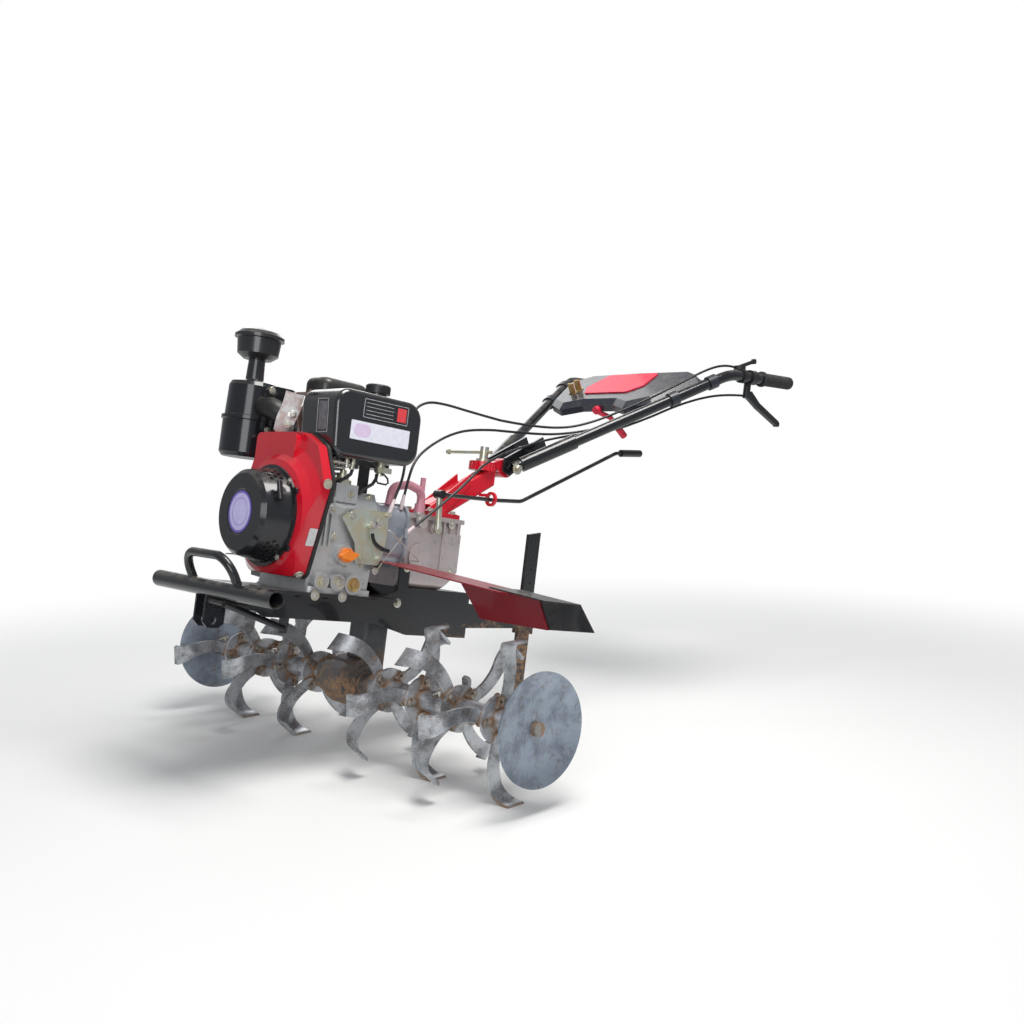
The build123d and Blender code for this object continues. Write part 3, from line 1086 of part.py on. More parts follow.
def console_form(inset):
    """The console's crowned body; inset draws it smaller all round and lower on top."""
    with BuildPart(mode=Mode.PRIVATE) as form:
        with BuildSketch(handle_plane.offset(CONSOLE_EDGE - CONSOLE_DEPTH)) as lower:
            with BuildLine():
                FilletPolyline(*console_outline, radius=16, close=True)
            make_face()
            if inset:
                offset(amount=-inset, kind=Kind.INTERSECTION)
        extrude(to_extrude=lower.sketch, amount=CONSOLE_DEPTH)
        with BuildSketch(handle_plane.offset(CONSOLE_EDGE)) as upper:
            with BuildLine():
                FilletPolyline(*console_outline, radius=16, close=True)
            make_face()
            if inset:
                offset(amount=-inset, kind=Kind.INTERSECTION)
        extrude(to_extrude=upper.sketch, amount=CONSOLE_CROWN - inset, taper=50)
    return form.part


with BuildPart() as console:
    add(console_form(0))
    add(console_form(CONSOLE_WALL), mode=Mode.SUBTRACT)
    tube_slope = (HANDLE_BEND_Y - TUBE_APEX_Y) / tube_length
    for side in (-1, 1):
        spread = side * (HANDLE_BEND_Y - TUBE_APEX_Y)
        run = Vector(HANDLE_BEND_X - PIVOT_X, spread, HANDLE_BEND_Z - PIVOT_Z).normalized()
        for along, inner_y in ((500, 196), (628, 240)):
            tube_y = TUBE_APEX_Y + tube_slope * along
            at = on_handle(side * tube_y, along, 0)
            boss(at - run * 14, run, TUBE_RADIUS + 5, 28)
            with BuildSketch(handle_plane.offset(-4)):
                with Locations((side * (inner_y + tube_y) / 2, along)):
                    Rectangle(tube_y - inner_y, 24)
            extrude(amount=8)
            boss(at - run * 20, run, TUBE_RADIUS, 40, mode=Mode.SUBTRACT)
finish(console, "console")

# Console panel, a thin plate on the crown
with BuildPart() as console_panel:
    panel = [(-96, 506), (74, 506), (106, 556), (88, 660), (-112, 660), (-126, 556)]
    plate(handle_plane.offset(CONSOLE_EDGE + CONSOLE_CROWN), panel, 4, corner=12)
finish(console_panel, "console_panel")

# Swivel lock lever under the console's front edge
with BuildPart() as stop_lever:
    lug = on_handle(0, CONSOLE_ARCH, -6)
    back_along = lug - on_handle(0, CONSOLE_ARCH + 1, -6)
    boss(lug, back_along, 12, 14)
    lever = [
        on_handle(0, CONSOLE_ARCH - 12, -6), on_handle(0, 470, -36), on_handle(0, 489, -52), on_handle(0, 523, -123),
    ]
    bar(lever, 8, bend=18)
    boss(on_handle(0, 511, -98), on_handle(0, 523, -123) - on_handle(0, 511, -98), 11, 36)
    add(console.part, mode=Mode.SUBTRACT)
finish(stop_lever, "stop_lever")

# Clutch lever: a perch clamped round the left tube, and the blade under the grip
grip_rise = (GRIP_END_Z - HANDLE_BEND_Z) / (HANDLE_BEND_X - GRIP_END_X)


def grip_line(x):
    """Height of the grip tubes' middle line at a given x, behind their bend."""
    return HANDLE_BEND_Z + (HANDLE_BEND_X - x) * grip_rise


grip_run = Vector(-1, 0, grip_rise).normalized()
with BuildPart() as clutch_lever:
    perch = Vector(-1110, HANDLE_BEND_Y, grip_line(-1110))
    boss(perch - grip_run * 14, grip_run, TUBE_RADIUS + 6, 28)
    boss(perch + Vector(-4, -14, 0), (0, 0, -1), 11, 62)
    blade = [
        (perch.X + 6, perch.Z - 44), (perch.X - 10, perch.Z - 62), (perch.X - 64, perch.Z - 84),
        (perch.X - 176, perch.Z - 118),
        (perch.X - 188, perch.Z - 104), (perch.X - 70, perch.Z - 66), (perch.X - 22, perch.Z - 38),
    ]
    side_plate(blade, HANDLE_BEND_Y - 14, 14, corner=5)
    boss((perch.X - 182, HANDLE_BEND_Y - 21, perch.Z - 112), (0, 1, 0), 9, 14)
    boss(perch - grip_run * 16, grip_run, TUBE_RADIUS, 32, mode=Mode.SUBTRACT)
finish(clutch_lever, "clutch_lever")

# Throttle lever on a clamp ahead of the left grip
with BuildPart() as throttle_lever:
    clamp = Vector(-1062, HANDLE_BEND_Y, grip_line(-1062))
    boss(clamp - grip_run * 9, grip_run, TUBE_RADIUS + 5, 18)
    boss(clamp + Vector(0, -12, 18), (0, 0, 1), 18, 12)
    arm = [
        (clamp.X + 12, clamp.Z + 30), (clamp.X - 12, clamp.Z + 30), (clamp.X - 72, clamp.Z + 56),
        (clamp.X - 66, clamp.Z + 64),
    ]
    side_plate(arm, HANDLE_BEND_Y - 12, 8)
    boss((clamp.X - 69, HANDLE_BEND_Y - 17, clamp.Z + 60), (0, 1, 0), 8, 10)
    boss(clamp - grip_run * 12, grip_run, TUBE_RADIUS, 24, mode=Mode.SUBTRACT)
finish(throttle_lever, "throttle_lever")

# Brass cable bracket standing on the far side of the console
with BuildPart() as cable_bracket:
    with BuildSketch(handle_plane.offset(CONSOLE_EDGE + CONSOLE_CROWN)):
        with Locations((-152, 530)):
            Rectangle(26, 44)
    extrude(amount=3)
    for along in (514, 544):
        with BuildSketch(handle_plane.offset(CONSOLE_EDGE + CONSOLE_CROWN)):
            with Locations((-152, along)):
                Rectangle(22, 5)
        extrude(amount=34)
finish(cable_bracket, "cable_bracket")

# Grips
for side_name, side in (("left", 1), ("right", -1)):
    with BuildPart() as grip:
        start_x = GRIP_END_X + GRIP_LENGTH
        start = Vector(start_x, side * HANDLE_BEND_Y, grip_line(start_x))
        end = Vector(GRIP_END_X, side * HANDLE_BEND_Y, GRIP_END_Z)
        length = (end - start).length
        boss(start, grip_run, GRIP_RADIUS, length + GRIP_CAP)
        boss(start, grip_run, GRIP_RADIUS + 4, 8)
        boss(start, grip_run, TUBE_RADIUS, length, mode=Mode.SUBTRACT)
    finish(grip, f"grip_{side_name}")


def cable(points):
    """Add a cable along runs joined by arcs; each arc takes up 0.45 of the shorter run beside it."""
    knots = [Vector(*point) for point in points]
    radii = []
    for before, knot, after in zip(knots, knots[1:], knots[2:]):
        turn = radians((knot - before).get_angle(after - knot))
        radii.append(0.45 * min((knot - before).length, (after - knot).length) / tan(turn / 2))
    with BuildLine() as run:
        FilletPolyline(*knots, radius=radii)
    path = run.wires()[0]
    with BuildSketch(Plane(origin=path @ 0, z_dir=path % 0)) as section:
        Circle(CABLE_RADIUS)
    sweep(sections=section.sketch, path=path)
    return path.length, min(radii)


def joined_at(points, number):
    """Part a cable's points at one of them; the lower length starts past the reach of the turning upper one."""
    at = Vector(*points[number])
    ahead = (Vector(*points[number + 1]) - at).normalized() * CABLE_GAP
    return points[:number + 1], [tuple(at + ahead)] + points[number + 1:]


# Bowden cables, each in an upper length on the handlebar and a lower length on the machine
CABLES = [
    # name, number of the point over the swivel, what it ends in, points from the handlebar down
    ("clutch_cable", 9, (clutch_lever, clutch_housing), [
        (-1104, 306, 936), (-1040, 300, 927), (-950, 284, 903), (-862, 252, 862), (-775, 212, 806), (-690, 160, 756),
        (-600, 106, 731), (-510, 84, 702), (-430, 80, 671), (-352, 80, 637), (-285, 86, 604), (-225, 104, 556),
        (-160, 118, 502), (-16, 118, 385)]),
    ("throttle_cable", 9, (throttle_lever, speed_plate), [
        (-1046, 308, 1012), (-1010, 304, 1012), (-935, 298, 986), (-858, 264, 930), (-780, 224, 872), (-700, 186, 819),
        (-625, 146, 772), (-560, 98, 742), (-450, 58, 731), (-352, 48, 730), (-250, 46, 733), (-150, 46, 738),
        (-85, 48, 732), (-40, 54, 700), (-24, 62, 640), (-20, 76, 575), (-2, 96, 518), (26, 112, 474), (46, 121, 430)]),
    ("lift_cable", 6, (console, clutch_housing), [
        (-800, 187, 842), (-768, 180, 820), (-722, 158, 786), (-648, 116, 752), (-560, 70, 724), (-450, 48, 710),
        (-352, 34, 702), (-270, 34, 691), (-185, 46, 664), (-110, 58, 622), (-54, 72, 578), (-28, 84, 520),
        (-20, 82, 444)]),
]
for name, number, ends, points in CABLES:
    upper, lower = joined_at(points, number)
    with BuildPart() as cable_upper:
        length, smallest = cable(upper)
        add(ends[0].part, mode=Mode.SUBTRACT)
    finish(cable_upper, f"{name}_upper")
    print(f"{name} upper {length:.0f} mm, smallest radius {smallest:.0f}")
    with BuildPart() as cable_lower:
        length, smallest = cable(lower)
        add(ends[1].part, mode=Mode.SUBTRACT)
    finish(cable_lower, f"{name}_lower")
    print(f"{name} lower {length:.0f} mm, smallest radius {smallest:.0f}")

print(f"pitch {PITCH:.2f} degrees, axle {TINE_RADIUS:.1f} mm up")
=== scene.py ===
"""The looks of a walk-behind diesel power weeder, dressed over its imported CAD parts, in metres."""

from math import cos, pi, radians, sin, tan

import bmesh
import bpy
from mathutils import Matrix, Vector


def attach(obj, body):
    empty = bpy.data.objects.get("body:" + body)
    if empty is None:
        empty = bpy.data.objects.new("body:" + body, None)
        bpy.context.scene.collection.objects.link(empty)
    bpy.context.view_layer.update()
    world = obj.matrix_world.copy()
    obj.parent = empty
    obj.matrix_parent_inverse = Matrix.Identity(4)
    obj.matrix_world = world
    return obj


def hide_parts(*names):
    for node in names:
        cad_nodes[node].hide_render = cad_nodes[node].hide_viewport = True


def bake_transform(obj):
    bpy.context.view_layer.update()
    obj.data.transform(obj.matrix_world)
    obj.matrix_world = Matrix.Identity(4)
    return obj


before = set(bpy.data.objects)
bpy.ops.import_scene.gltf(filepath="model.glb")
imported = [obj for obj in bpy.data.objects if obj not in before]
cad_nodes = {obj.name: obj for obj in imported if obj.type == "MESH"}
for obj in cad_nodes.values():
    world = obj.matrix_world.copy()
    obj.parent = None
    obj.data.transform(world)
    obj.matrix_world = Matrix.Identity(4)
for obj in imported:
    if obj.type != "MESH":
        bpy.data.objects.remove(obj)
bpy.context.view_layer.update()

# The machine stands on its rotor and its drag bar, so its own level frame leans back in the row frame.
# MACHINE turns machine millimetres, counted from the middle of the axle, into metres in the row frame.
LEAN = radians(9.766)
AXLE_AHEAD = 0.5285
AXLE_HEIGHT = 0.180
AXLE_PLACE = Matrix.Translation((AXLE_AHEAD, 0, AXLE_HEIGHT))
MACHINE = AXLE_PLACE @ Matrix.Rotation(-LEAN, 4, "Y") @ Matrix.Scale(0.001, 4)


# Camera, floor and light
# The camera stands in front on the near side, as in the photo. Its place, turn and lens come from a fit to
# points of the machine.
CAMERA_PLACE = (2.2038, 2.3220, 0.8163)
CAMERA_LENS = 39.77
SENSOR_WIDTH = 36
camera_right = Vector((-0.7199, 0.6940, -0.0031)).normalized()
camera_back = Vector((0.6916, 0.7180, 0.0734))
camera_back = (camera_back - camera_back.project(camera_right)).normalized()
camera_up = camera_back.cross(camera_right)
camera = bpy.data.objects.new("camera", bpy.data.cameras.new("camera"))
camera.data.sensor_width = SENSOR_WIDTH
camera.data.sensor_fit = "HORIZONTAL"
camera.data.lens = CAMERA_LENS
camera_turn = Matrix((camera_right, camera_up, camera_back)).transposed().to_4x4()
camera.matrix_world = Matrix.Translation(CAMERA_PLACE) @ camera_turn
bpy.context.scene.collection.objects.link(camera)
bpy.context.scene.camera = camera
bpy.context.scene.view_settings.view_transform = "Standard"


def softbox(name, place, aim, size, power, colour):
    """A square studio lamp at a place, turned to what it lights."""
    lamp = bpy.data.objects.new(name, bpy.data.lights.new(name, "AREA"))
    lamp.data.shape = "SQUARE"
    lamp.data.size = size
    lamp.data.energy = power
    lamp.data.color = colour
    lamp.location = place
    lamp.rotation_mode = "QUATERNION"
    lamp.rotation_quaternion = (Vector(aim) - Vector(place)).to_track_quat("-Z", "Y")
    bpy.context.scene.collection.objects.link(lamp)


MIDDLE = (0.35, 0, 0.5)
# name, place, size in metres, power in watts, colour
LAMPS = [
    ("overhead_lamp", (0.2, 0.9, 3.2), 1.4, 92, (1.0, 0.99, 0.97)),
    ("front_lamp", (3.0, 2.4, 1.5), 1.8, 42, (0.96, 0.98, 1.0)),
    ("far_side_lamp", (-1.4, -2.6, 2.0), 2.2, 30, (0.98, 0.99, 1.0)),
]
for name, place, size, power, colour in LAMPS:
    softbox(name, place, MIDDLE, size, power, colour)


class Flow:
    """A value on its way through a material. Sums on it add Math nodes, so a mask reads as sums."""

    def __init__(self, finish, socket):
        self.finish = finish
        self.socket = socket

    def maths(self, operation, first, second):
        return self.finish.node("ShaderNodeMath", {"operation": operation}, {0: first, 1: second})

    def __add__(self, other):
        return self.maths("ADD", self, other)

    def __sub__(self, other):
        return self.maths("SUBTRACT", self, other)

    def __rsub__(self, other):
        return self.maths("SUBTRACT", other, self)

    def __mul__(self, other):
        return self.maths("MULTIPLY", self, other)

    def most(self, other):
        return self.maths("MAXIMUM", self, other)

    def rise(self, low, high, bottom=0.0, top=1.0):
        """A soft step: bottom below low, top above high."""
        settings = {"interpolation_type": "SMOOTHSTEP"}
        sockets = {0: self, 1: low, 2: high, 3: bottom, 4: top}
        return self.finish.node("ShaderNodeMapRange", settings, sockets)

    __radd__ = __add__
    __rmul__ = __mul__


class Finish:
    """A surface finish: a material with one shader, and the nodes that vary it over the surface."""

    def __init__(self, name):
        self.material = bpy.data.materials.new(name)
        self.material.use_nodes = True
        self.tree = self.material.node_tree
        self.shader = self.tree.nodes["Principled BSDF"]

    def node(self, kind, settings, sockets, output=0):
        """Add a node: its settings first, then the value or link of each named socket."""
        node = self.tree.nodes.new(kind)
        for key, value in settings.items():
            setattr(node, key, value)
        for key, value in sockets.items():
            if isinstance(value, Flow):
                self.tree.links.new(value.socket, node.inputs[key])
            else:
                node.inputs[key].default_value = value
        return Flow(self, node.outputs[output])

    def spot(self, stretch=(1, 1, 1)):
        """The place on the piece, in metres, stretched along its axes."""
        place = self.node("ShaderNodeTexCoord", {}, {}, "Object")
        if stretch == (1, 1, 1):
            return place
        return self.node("ShaderNodeVectorMath", {"operation": "MULTIPLY"}, {0: place, 1: stretch})

    def noise(self, size, detail=3.0, rough=0.5, stretch=(1, 1, 1)):
        """Cloudy noise whose features are about size metres across, near 0.5."""
        sockets = {"Vector": self.spot(stretch), "Scale": 1 / size, "Detail": detail, "Roughness": rough}
        return self.node("ShaderNodeTexNoise", {}, sockets)

    def mix(self, mask, under, over):
        """One colour over another by a mask."""
        return self.node("ShaderNodeMix", {"data_type": "RGBA"}, {0: mask, 6: under, 7: over}, 2)

    def hollow(self, reach):
        """1 in corners and creases, 0 on open faces."""
        open_sky = self.node("ShaderNodeAmbientOcclusion", {"samples": 6}, {"Distance": reach}, "AO")
        return 1 - open_sky

    def edge(self, radius=0.0015):
        """1 along outer and inner edges, 0 on flats."""
        rounded = self.node("ShaderNodeBevel", {"samples": 4}, {"Radius": radius})
        flat = self.node("ShaderNodeNewGeometry", {}, {}, "Normal")
        settings = {"operation": "DOT_PRODUCT"}
        agree = self.node("ShaderNodeVectorMath", settings, {0: rounded, 1: flat}, "Value")
        return (1 - agree).rise(0.02, 0.3)

    def facing_up(self):
        """How far the surface faces the sky, from -1 to 1."""
        normal = self.node("ShaderNodeNewGeometry", {}, {}, "Normal")
        return self.node("ShaderNodeSeparateXYZ", {}, {0: normal}, "Z")

    def height(self):
        """Height on the piece above the floor, in metres."""
        return self.node("ShaderNodeSeparateXYZ", {}, {0: self.spot()}, "Z")

    def bump(self, height, depth):
        """Raise the surface by depth metres where height is 1."""
        normal = self.node("ShaderNodeBump", {}, {"Height": height, "Distance": depth, "Strength": 1.0})
        self.put({"Normal": normal})

    def put(self, sockets):
        """Set or link the shader's own sockets."""
        for key, value in sockets.items():
            if isinstance(value, Flow):
                self.tree.links.new(value.socket, self.shader.inputs[key])
            else:
                self.shader.inputs[key].default_value = value


def dress(finish, *names):
    """Give CAD nodes a finish."""
    for name in names:
        for slot in cad_nodes[name].material_slots:
            slot.material = finish.material


def rgb(red, green, blue):
    """An opaque colour."""
    return (red, green, blue, 1)


def darker(colour, share):
    """A colour with each part taken down to a share of itself."""
    return rgb(*(part * share for part in colour[:3]))


# Pale floor and white surroundings. The lamps light the machine from three sides and the world fills in.
# Past a few metres the floor runs over into the plain white of the surroundings, as a studio cove does.
FLOOR_HALF = 30.0
COVE_START = 1.1
COVE_END = 3.2
floor_finish = Finish("pale_floor")
floor_grain = floor_finish.noise(0.6, 4.0)
floor_shade = floor_finish.mix(floor_grain, rgb(0.78, 0.78, 0.77), rgb(0.82, 0.82, 0.81))
floor_finish.put({"Base Color": floor_shade, "Roughness": 0.9})
floor_spot = floor_finish.spot()
from_middle = floor_finish.node("ShaderNodeVectorMath", {"operation": "LENGTH"}, {0: floor_spot}, "Value")
white = floor_finish.node("ShaderNodeEmission", {}, {"Color": rgb(1, 1, 1), "Strength": 1.0})
seen_straight = floor_finish.node("ShaderNodeLightPath", {}, {}, "Is Camera Ray")
cove = from_middle.rise(COVE_START, COVE_END) * seen_straight
surface = Flow(floor_finish, floor_finish.shader.outputs[0])
floor_mixed = floor_finish.node("ShaderNodeMixShader", {}, {0: cove, 1: surface, 2: white})
floor_out = floor_finish.tree.nodes["Material Output"]
floor_finish.tree.links.new(floor_mixed.socket, floor_out.inputs["Surface"])
floor_form = bmesh.new()
bmesh.ops.create_grid(floor_form, x_segments=8, y_segments=8, size=FLOOR_HALF)
floor_mesh = bpy.data.meshes.new("floor")
floor_form.to_mesh(floor_mesh)
floor_form.free()
floor_mesh.materials.append(floor_finish.material)
floor = bpy.data.objects.new("floor", floor_mesh)
bpy.context.scene.collection.objects.link(floor)

world = bpy.data.worlds.new("surroundings")
bpy.context.scene.world = world
world.use_nodes = True
sky = world.node_tree
plain = sky.nodes["Background"]
plain.inputs["Color"].default_value = rgb(0.93, 0.96, 1.0)
plain.inputs["Strength"].default_value = 0.36
seen = sky.nodes.new("ShaderNodeBackground")
seen.inputs["Color"].default_value = rgb(1, 1, 1)
seen.inputs["Strength"].default_value = 1.0
ray = sky.nodes.new("ShaderNodeLightPath")
straight = sky.nodes.new("ShaderNodeMath")
straight.operation = "MAXIMUM"
sky.links.new(ray.outputs["Is Camera Ray"], straight.inputs[0])
sky.links.new(ray.outputs["Is Transmission Ray"], straight.inputs[1])
choose = sky.nodes.new("ShaderNodeMixShader")
sky.links.new(straight.outputs[0], choose.inputs[0])
sky.links.new(plain.outputs[0], choose.inputs[1])
sky.links.new(seen.outputs[0], choose.inputs[2])
sky.links.new(choose.outputs[0], sky.nodes["World Output"].inputs["Surface"])


# Deck frame, front bumper and hitch
# Steel tube and plate, welded up and painted gloss black. The lower parts carry dried clay thrown up by the
# tines, the paint is scratched on its edges, and a film of dust lies on what faces up.
CLAY = rgb(0.300, 0.178, 0.098)
DUST = rgb(0.42, 0.36, 0.29)
BARE_STEEL = rgb(0.34, 0.33, 0.32)


def painted(name, colour, gloss=0.28, dusty=0.35, clay_from=None, worn=0.6, coat=0.45):
    """Gloss paint: orange peel, edge chips, dust on top and clay below clay_from metres."""
    finish = Finish(name)
    mottle = finish.noise(0.07, 4.0, 0.6)
    shade = finish.mix(mottle, colour, darker(colour, 0.80))
    chips = finish.edge() * finish.noise(0.012, 5.0, 0.7).rise(0.50, 0.62) * worn
    shade = finish.mix(chips, shade, BARE_STEEL)
    film = finish.facing_up().rise(0.35, 0.95) * finish.noise(0.035, 5.0, 0.65).rise(0.35, 0.75) * dusty
    film = film.most(finish.hollow(0.02).rise(0.45, 1.0) * dusty * 0.7)
    cover = film
    shade = finish.mix(film, shade, DUST)
    if clay_from is not None:
        splash = finish.height() * -1 + clay_from + (finish.noise(0.05, 6.0, 0.7) - 0.5) * 0.34
        splash = splash.rise(0.0, 0.09) * finish.noise(0.009, 5.0, 0.7).rise(0.40, 0.60) * 0.85
        cover = film.most(splash)
        shade = finish.mix(splash, shade, CLAY)
    finish.put({
        "Base Color": shade,
        "Roughness": (cover * 0.6 + gloss + chips * 0.2).rise(0.0, 1.0, 0.05, 0.95),
        "Metallic": chips * 0.7,
        "Coat Weight": (1 - cover) * coat,
        "Coat Roughness": 0.06,
        "Specular IOR Level": 0.3,
    })
    peel = finish.noise(0.0035, 2.0) * 0.12
    finish.bump(peel + cover * finish.noise(0.0025, 4.0, 0.7), 0.0006)
    return finish


chassis_paint = painted("chassis_black", rgb(0.013, 0.014, 0.017), clay_from=0.30)
dress(chassis_paint, "base_frame", "front_bumper", "front_hitch", "drag_socket")
drag_paint = painted("drag_bar_black", rgb(0.016, 0.017, 0.020), gloss=0.34, clay_from=0.34, worn=0.9)
dress(drag_paint, "drag_bar")


# Bolts
# Zinc plated hexagon bolts on round washers hold the castings, the cowl and the frame together. Each is a
# round washer and a head of six sides with a chamfered crown.
ROUND_STEPS = 24


def lathe(form, profile, at, along, steps=ROUND_STEPS):
    """Turn (radius, height) points about an axis through at; ends at radius 0 close it."""
    turn = Vector(along).normalized().to_track_quat("Z", "Y").to_matrix()
    rings = []
    for radius, height in profile:
        if radius == 0:
            rings.append([form.verts.new(Vector(at) + turn @ Vector((0, 0, height)))])
            continue
        ring = []
        for step in range(steps):
            angle = 2 * pi * step / steps
            place = turn @ Vector((radius * cos(angle), radius * sin(angle), height))
            ring.append(form.verts.new(Vector(at) + place))
        rings.append(ring)
    for low, high in zip(rings, rings[1:]):
        for step in range(steps):
            after = (step + 1) % steps
            if len(low) == 1:
                form.faces.new((low[0], high[after], high[step]))
            elif len(high) == 1:
                form.faces.new((low[step], low[after], high[0]))
            else:
                form.faces.new((low[step], low[after], high[after], high[step]))


WASHER_THICK = 1.7
WASHER_ROUNDING = 0.3
HEAD_CHAMFER = 0.4


def hex_bolt(form, at, along, across):
    """A hexagon bolt head on its washer, both sized from the width across the flats."""
    corner = across / 2 / cos(pi / 6)
    washer = across * 0.92
    rim = washer * 0.96
    shoulder = WASHER_THICK - WASHER_ROUNDING
    lathe(form, [
        (0, 0), (rim, 0), (washer, WASHER_ROUNDING),
        (washer, shoulder), (rim, WASHER_THICK), (0, WASHER_THICK),
    ], at, along)
    crown = across * 0.62
    brow = crown * 0.82
    lathe(form, [
        (0, WASHER_THICK), (corner * 0.98, WASHER_THICK), (corner, WASHER_THICK + HEAD_CHAMFER),
        (corner, brow), (corner * 0.84, crown), (0, crown),
    ], at, along, 6)


def piece(name, form, body, finish, sharp=35):
    """A piece from a mesh form in machine millimetres, riding on a body."""
    bmesh.ops.recalc_face_normals(form, faces=form.faces)
    mesh = bpy.data.meshes.new(name)
    form.to_mesh(mesh)
    form.free()
    mesh.transform(MACHINE)
    mesh.materials.append(finish.material)
    for face in mesh.polygons:
        face.use_smooth = True
    mesh.set_sharp_from_angle(angle=radians(sharp))
    made = bpy.data.objects.new(name, mesh)
    bpy.context.scene.collection.objects.link(made)
    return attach(made, body)


def bolts(name, body, finish, rows):
    """Bolts of one body as one piece, from rows of place, direction and width across the flats."""
    form = bmesh.new()
    for at, along, across in rows:
        hex_bolt(form, at, along, across)
    return piece(name, form, body, finish)


def plated(name, colour, tint, gloss=0.3):
    """Zinc plate: cloudy passivation tint, and creases made matt and darkened with painted shade."""
    finish = Finish(name)
    shade = finish.mix(finish.noise(0.018, 4.0, 0.6).rise(0.35, 0.65), colour, tint)
    # Painted shade: creases are darkened towards a dark brown, and also made matt and less metallic.
    matt_shaded_crease = finish.hollow(0.012).rise(0.35, 0.9) * 0.6
    shade = finish.mix(matt_shaded_crease, shade, rgb(0.12, 0.105, 0.085))
    rough = matt_shaded_crease * 0.35 + gloss + finish.noise(0.004) * 0.1
    finish.put({"Base Color": shade, "Metallic": (1 - matt_shaded_crease) * 0.85, "Roughness": rough})
    finish.bump(finish.noise(0.0009, 3.0), 0.00012)
    return finish


bolt_finish = plated("bolt_zinc", rgb(0.55, 0.55, 0.55), rgb(0.56, 0.52, 0.38), 0.32)
bolts("frame_bolts", "machine", bolt_finish, [
    ((x, side * y, z), (0, side, 0), 13)
    for side in (1, -1)
    for x, y, z in ((154, 120, 215), (232, 120, 214), (-42, 85, 209))
])


# Chain case leg
# A dark grey cast iron leg between deck and axle. The casting is coarse, with clay caked on its lower end.
leg_finish = Finish("leg_casting")
leg_cloud = leg_finish.noise(0.03, 5.0, 0.65)
leg_shade = leg_finish.mix(leg_cloud, rgb(0.055, 0.060, 0.068), rgb(0.11, 0.115, 0.12))
LEG_CLAY_TOP = 0.28
leg_splash = (leg_finish.noise(0.06, 5.0, 0.7) - 0.5) * 0.3
leg_clay = (leg_finish.height() * -1 + LEG_CLAY_TOP + leg_splash).rise(0.0, 0.12)
leg_clay = leg_clay * leg_finish.noise(0.012, 5.0, 0.7).rise(0.35, 0.60)
leg_shade = leg_finish.mix(leg_clay, leg_shade, CLAY)
leg_finish.put({
    "Base Color": leg_shade,
    "Roughness": leg_clay * 0.35 + 0.5,
    "Metallic": (1 - leg_clay) * 0.35,
})
leg_grain = leg_finish.noise(0.0016, 4.0, 0.7) * 0.6
leg_finish.bump(leg_grain + leg_clay * leg_finish.noise(0.005, 4.0, 0.7), 0.0009)
dress(leg_finish, "leg")


# Fenders
# Folded sheet steel over each rotor half, painted red on top, with bolted black extensions at their ends.
# Their red is a darker copy of the cowl's red: painted shade, as the fenders' undersides lie in shadow.
shaded_fender_paint = painted("fender_red_shaded", rgb(0.24, 0.004, 0.014), gloss=0.42, dusty=0.14, worn=0.8, coat=0.3)
dress(shaded_fender_paint, "fender_left", "fender_right")
flap_paint = painted("fender_black", rgb(0.014, 0.014, 0.016), gloss=0.32, dusty=0.35, worn=0.8)
dress(flap_paint, "fender_extension_left", "fender_extension_right")


# Rotor: shaft, tines and end discs
# Spring steel blades bolted to flanges on a steel tube. Soil has scoured them bright, with brown scale where
# they are rubbed less, long scratches along the way they cut, and clay dried on near the hub.
def scoured(name, bright, scale_colour, clay, scratch=(1, 1, 1)):
    """Steel polished by soil: bright rubbed patches, scale, scratches and dried clay."""
    finish = Finish(name)
    broad = finish.noise(0.06, 5.0, 0.6)
    scratches = finish.noise(0.003, 4.0, 0.7, scratch)
    rubbed = (broad + scratches * 0.5 - 0.25).rise(0.32, 0.62)
    shade = finish.mix(rubbed, scale_colour, bright)
    stain = finish.noise(0.02, 6.0, 0.7).rise(0.52, 0.70)
    shade = finish.mix(stain * 0.55, shade, rgb(0.17, 0.105, 0.07))
    dried = finish.hollow(0.05).rise(0.30, 0.80) * 0.6 + finish.noise(0.028, 6.0, 0.72)
    dried = dried.rise(0.62 - clay, 0.74 - clay)
    shade = finish.mix(dried, shade, CLAY)
    finish.put({
        "Base Color": shade,
        "Metallic": (1 - dried) * 0.78,
        "Roughness": (dried * 0.5 + 0.34 + (1 - rubbed) * 0.12 + scratches * 0.14).rise(0.0, 1.0, 0.0, 1.0),
    })
    finish.bump(scratches * 0.25 + dried * finish.noise(0.004, 5.0, 0.7) * 1.6, 0.0009)
    return finish


blade_finish = scoured("tine_steel", rgb(0.52, 0.54, 0.57), rgb(0.20, 0.20, 0.21), 0.02, (1, 0.12, 1))
dress(blade_finish, "tines_left_inner", "tines_left_outer", "tines_right_inner", "tines_right_outer")
disc_finish = scoured("disc_steel", rgb(0.31, 0.36, 0.43), rgb(0.20, 0.23, 0.28), 0.0, (1, 1, 0.2))
dress(disc_finish, "end_disc_left", "end_disc_right")
dress(scoured("shaft_steel", rgb(0.30, 0.29, 0.28), rgb(0.10, 0.095, 0.09), 0.12), "rotor_shaft")


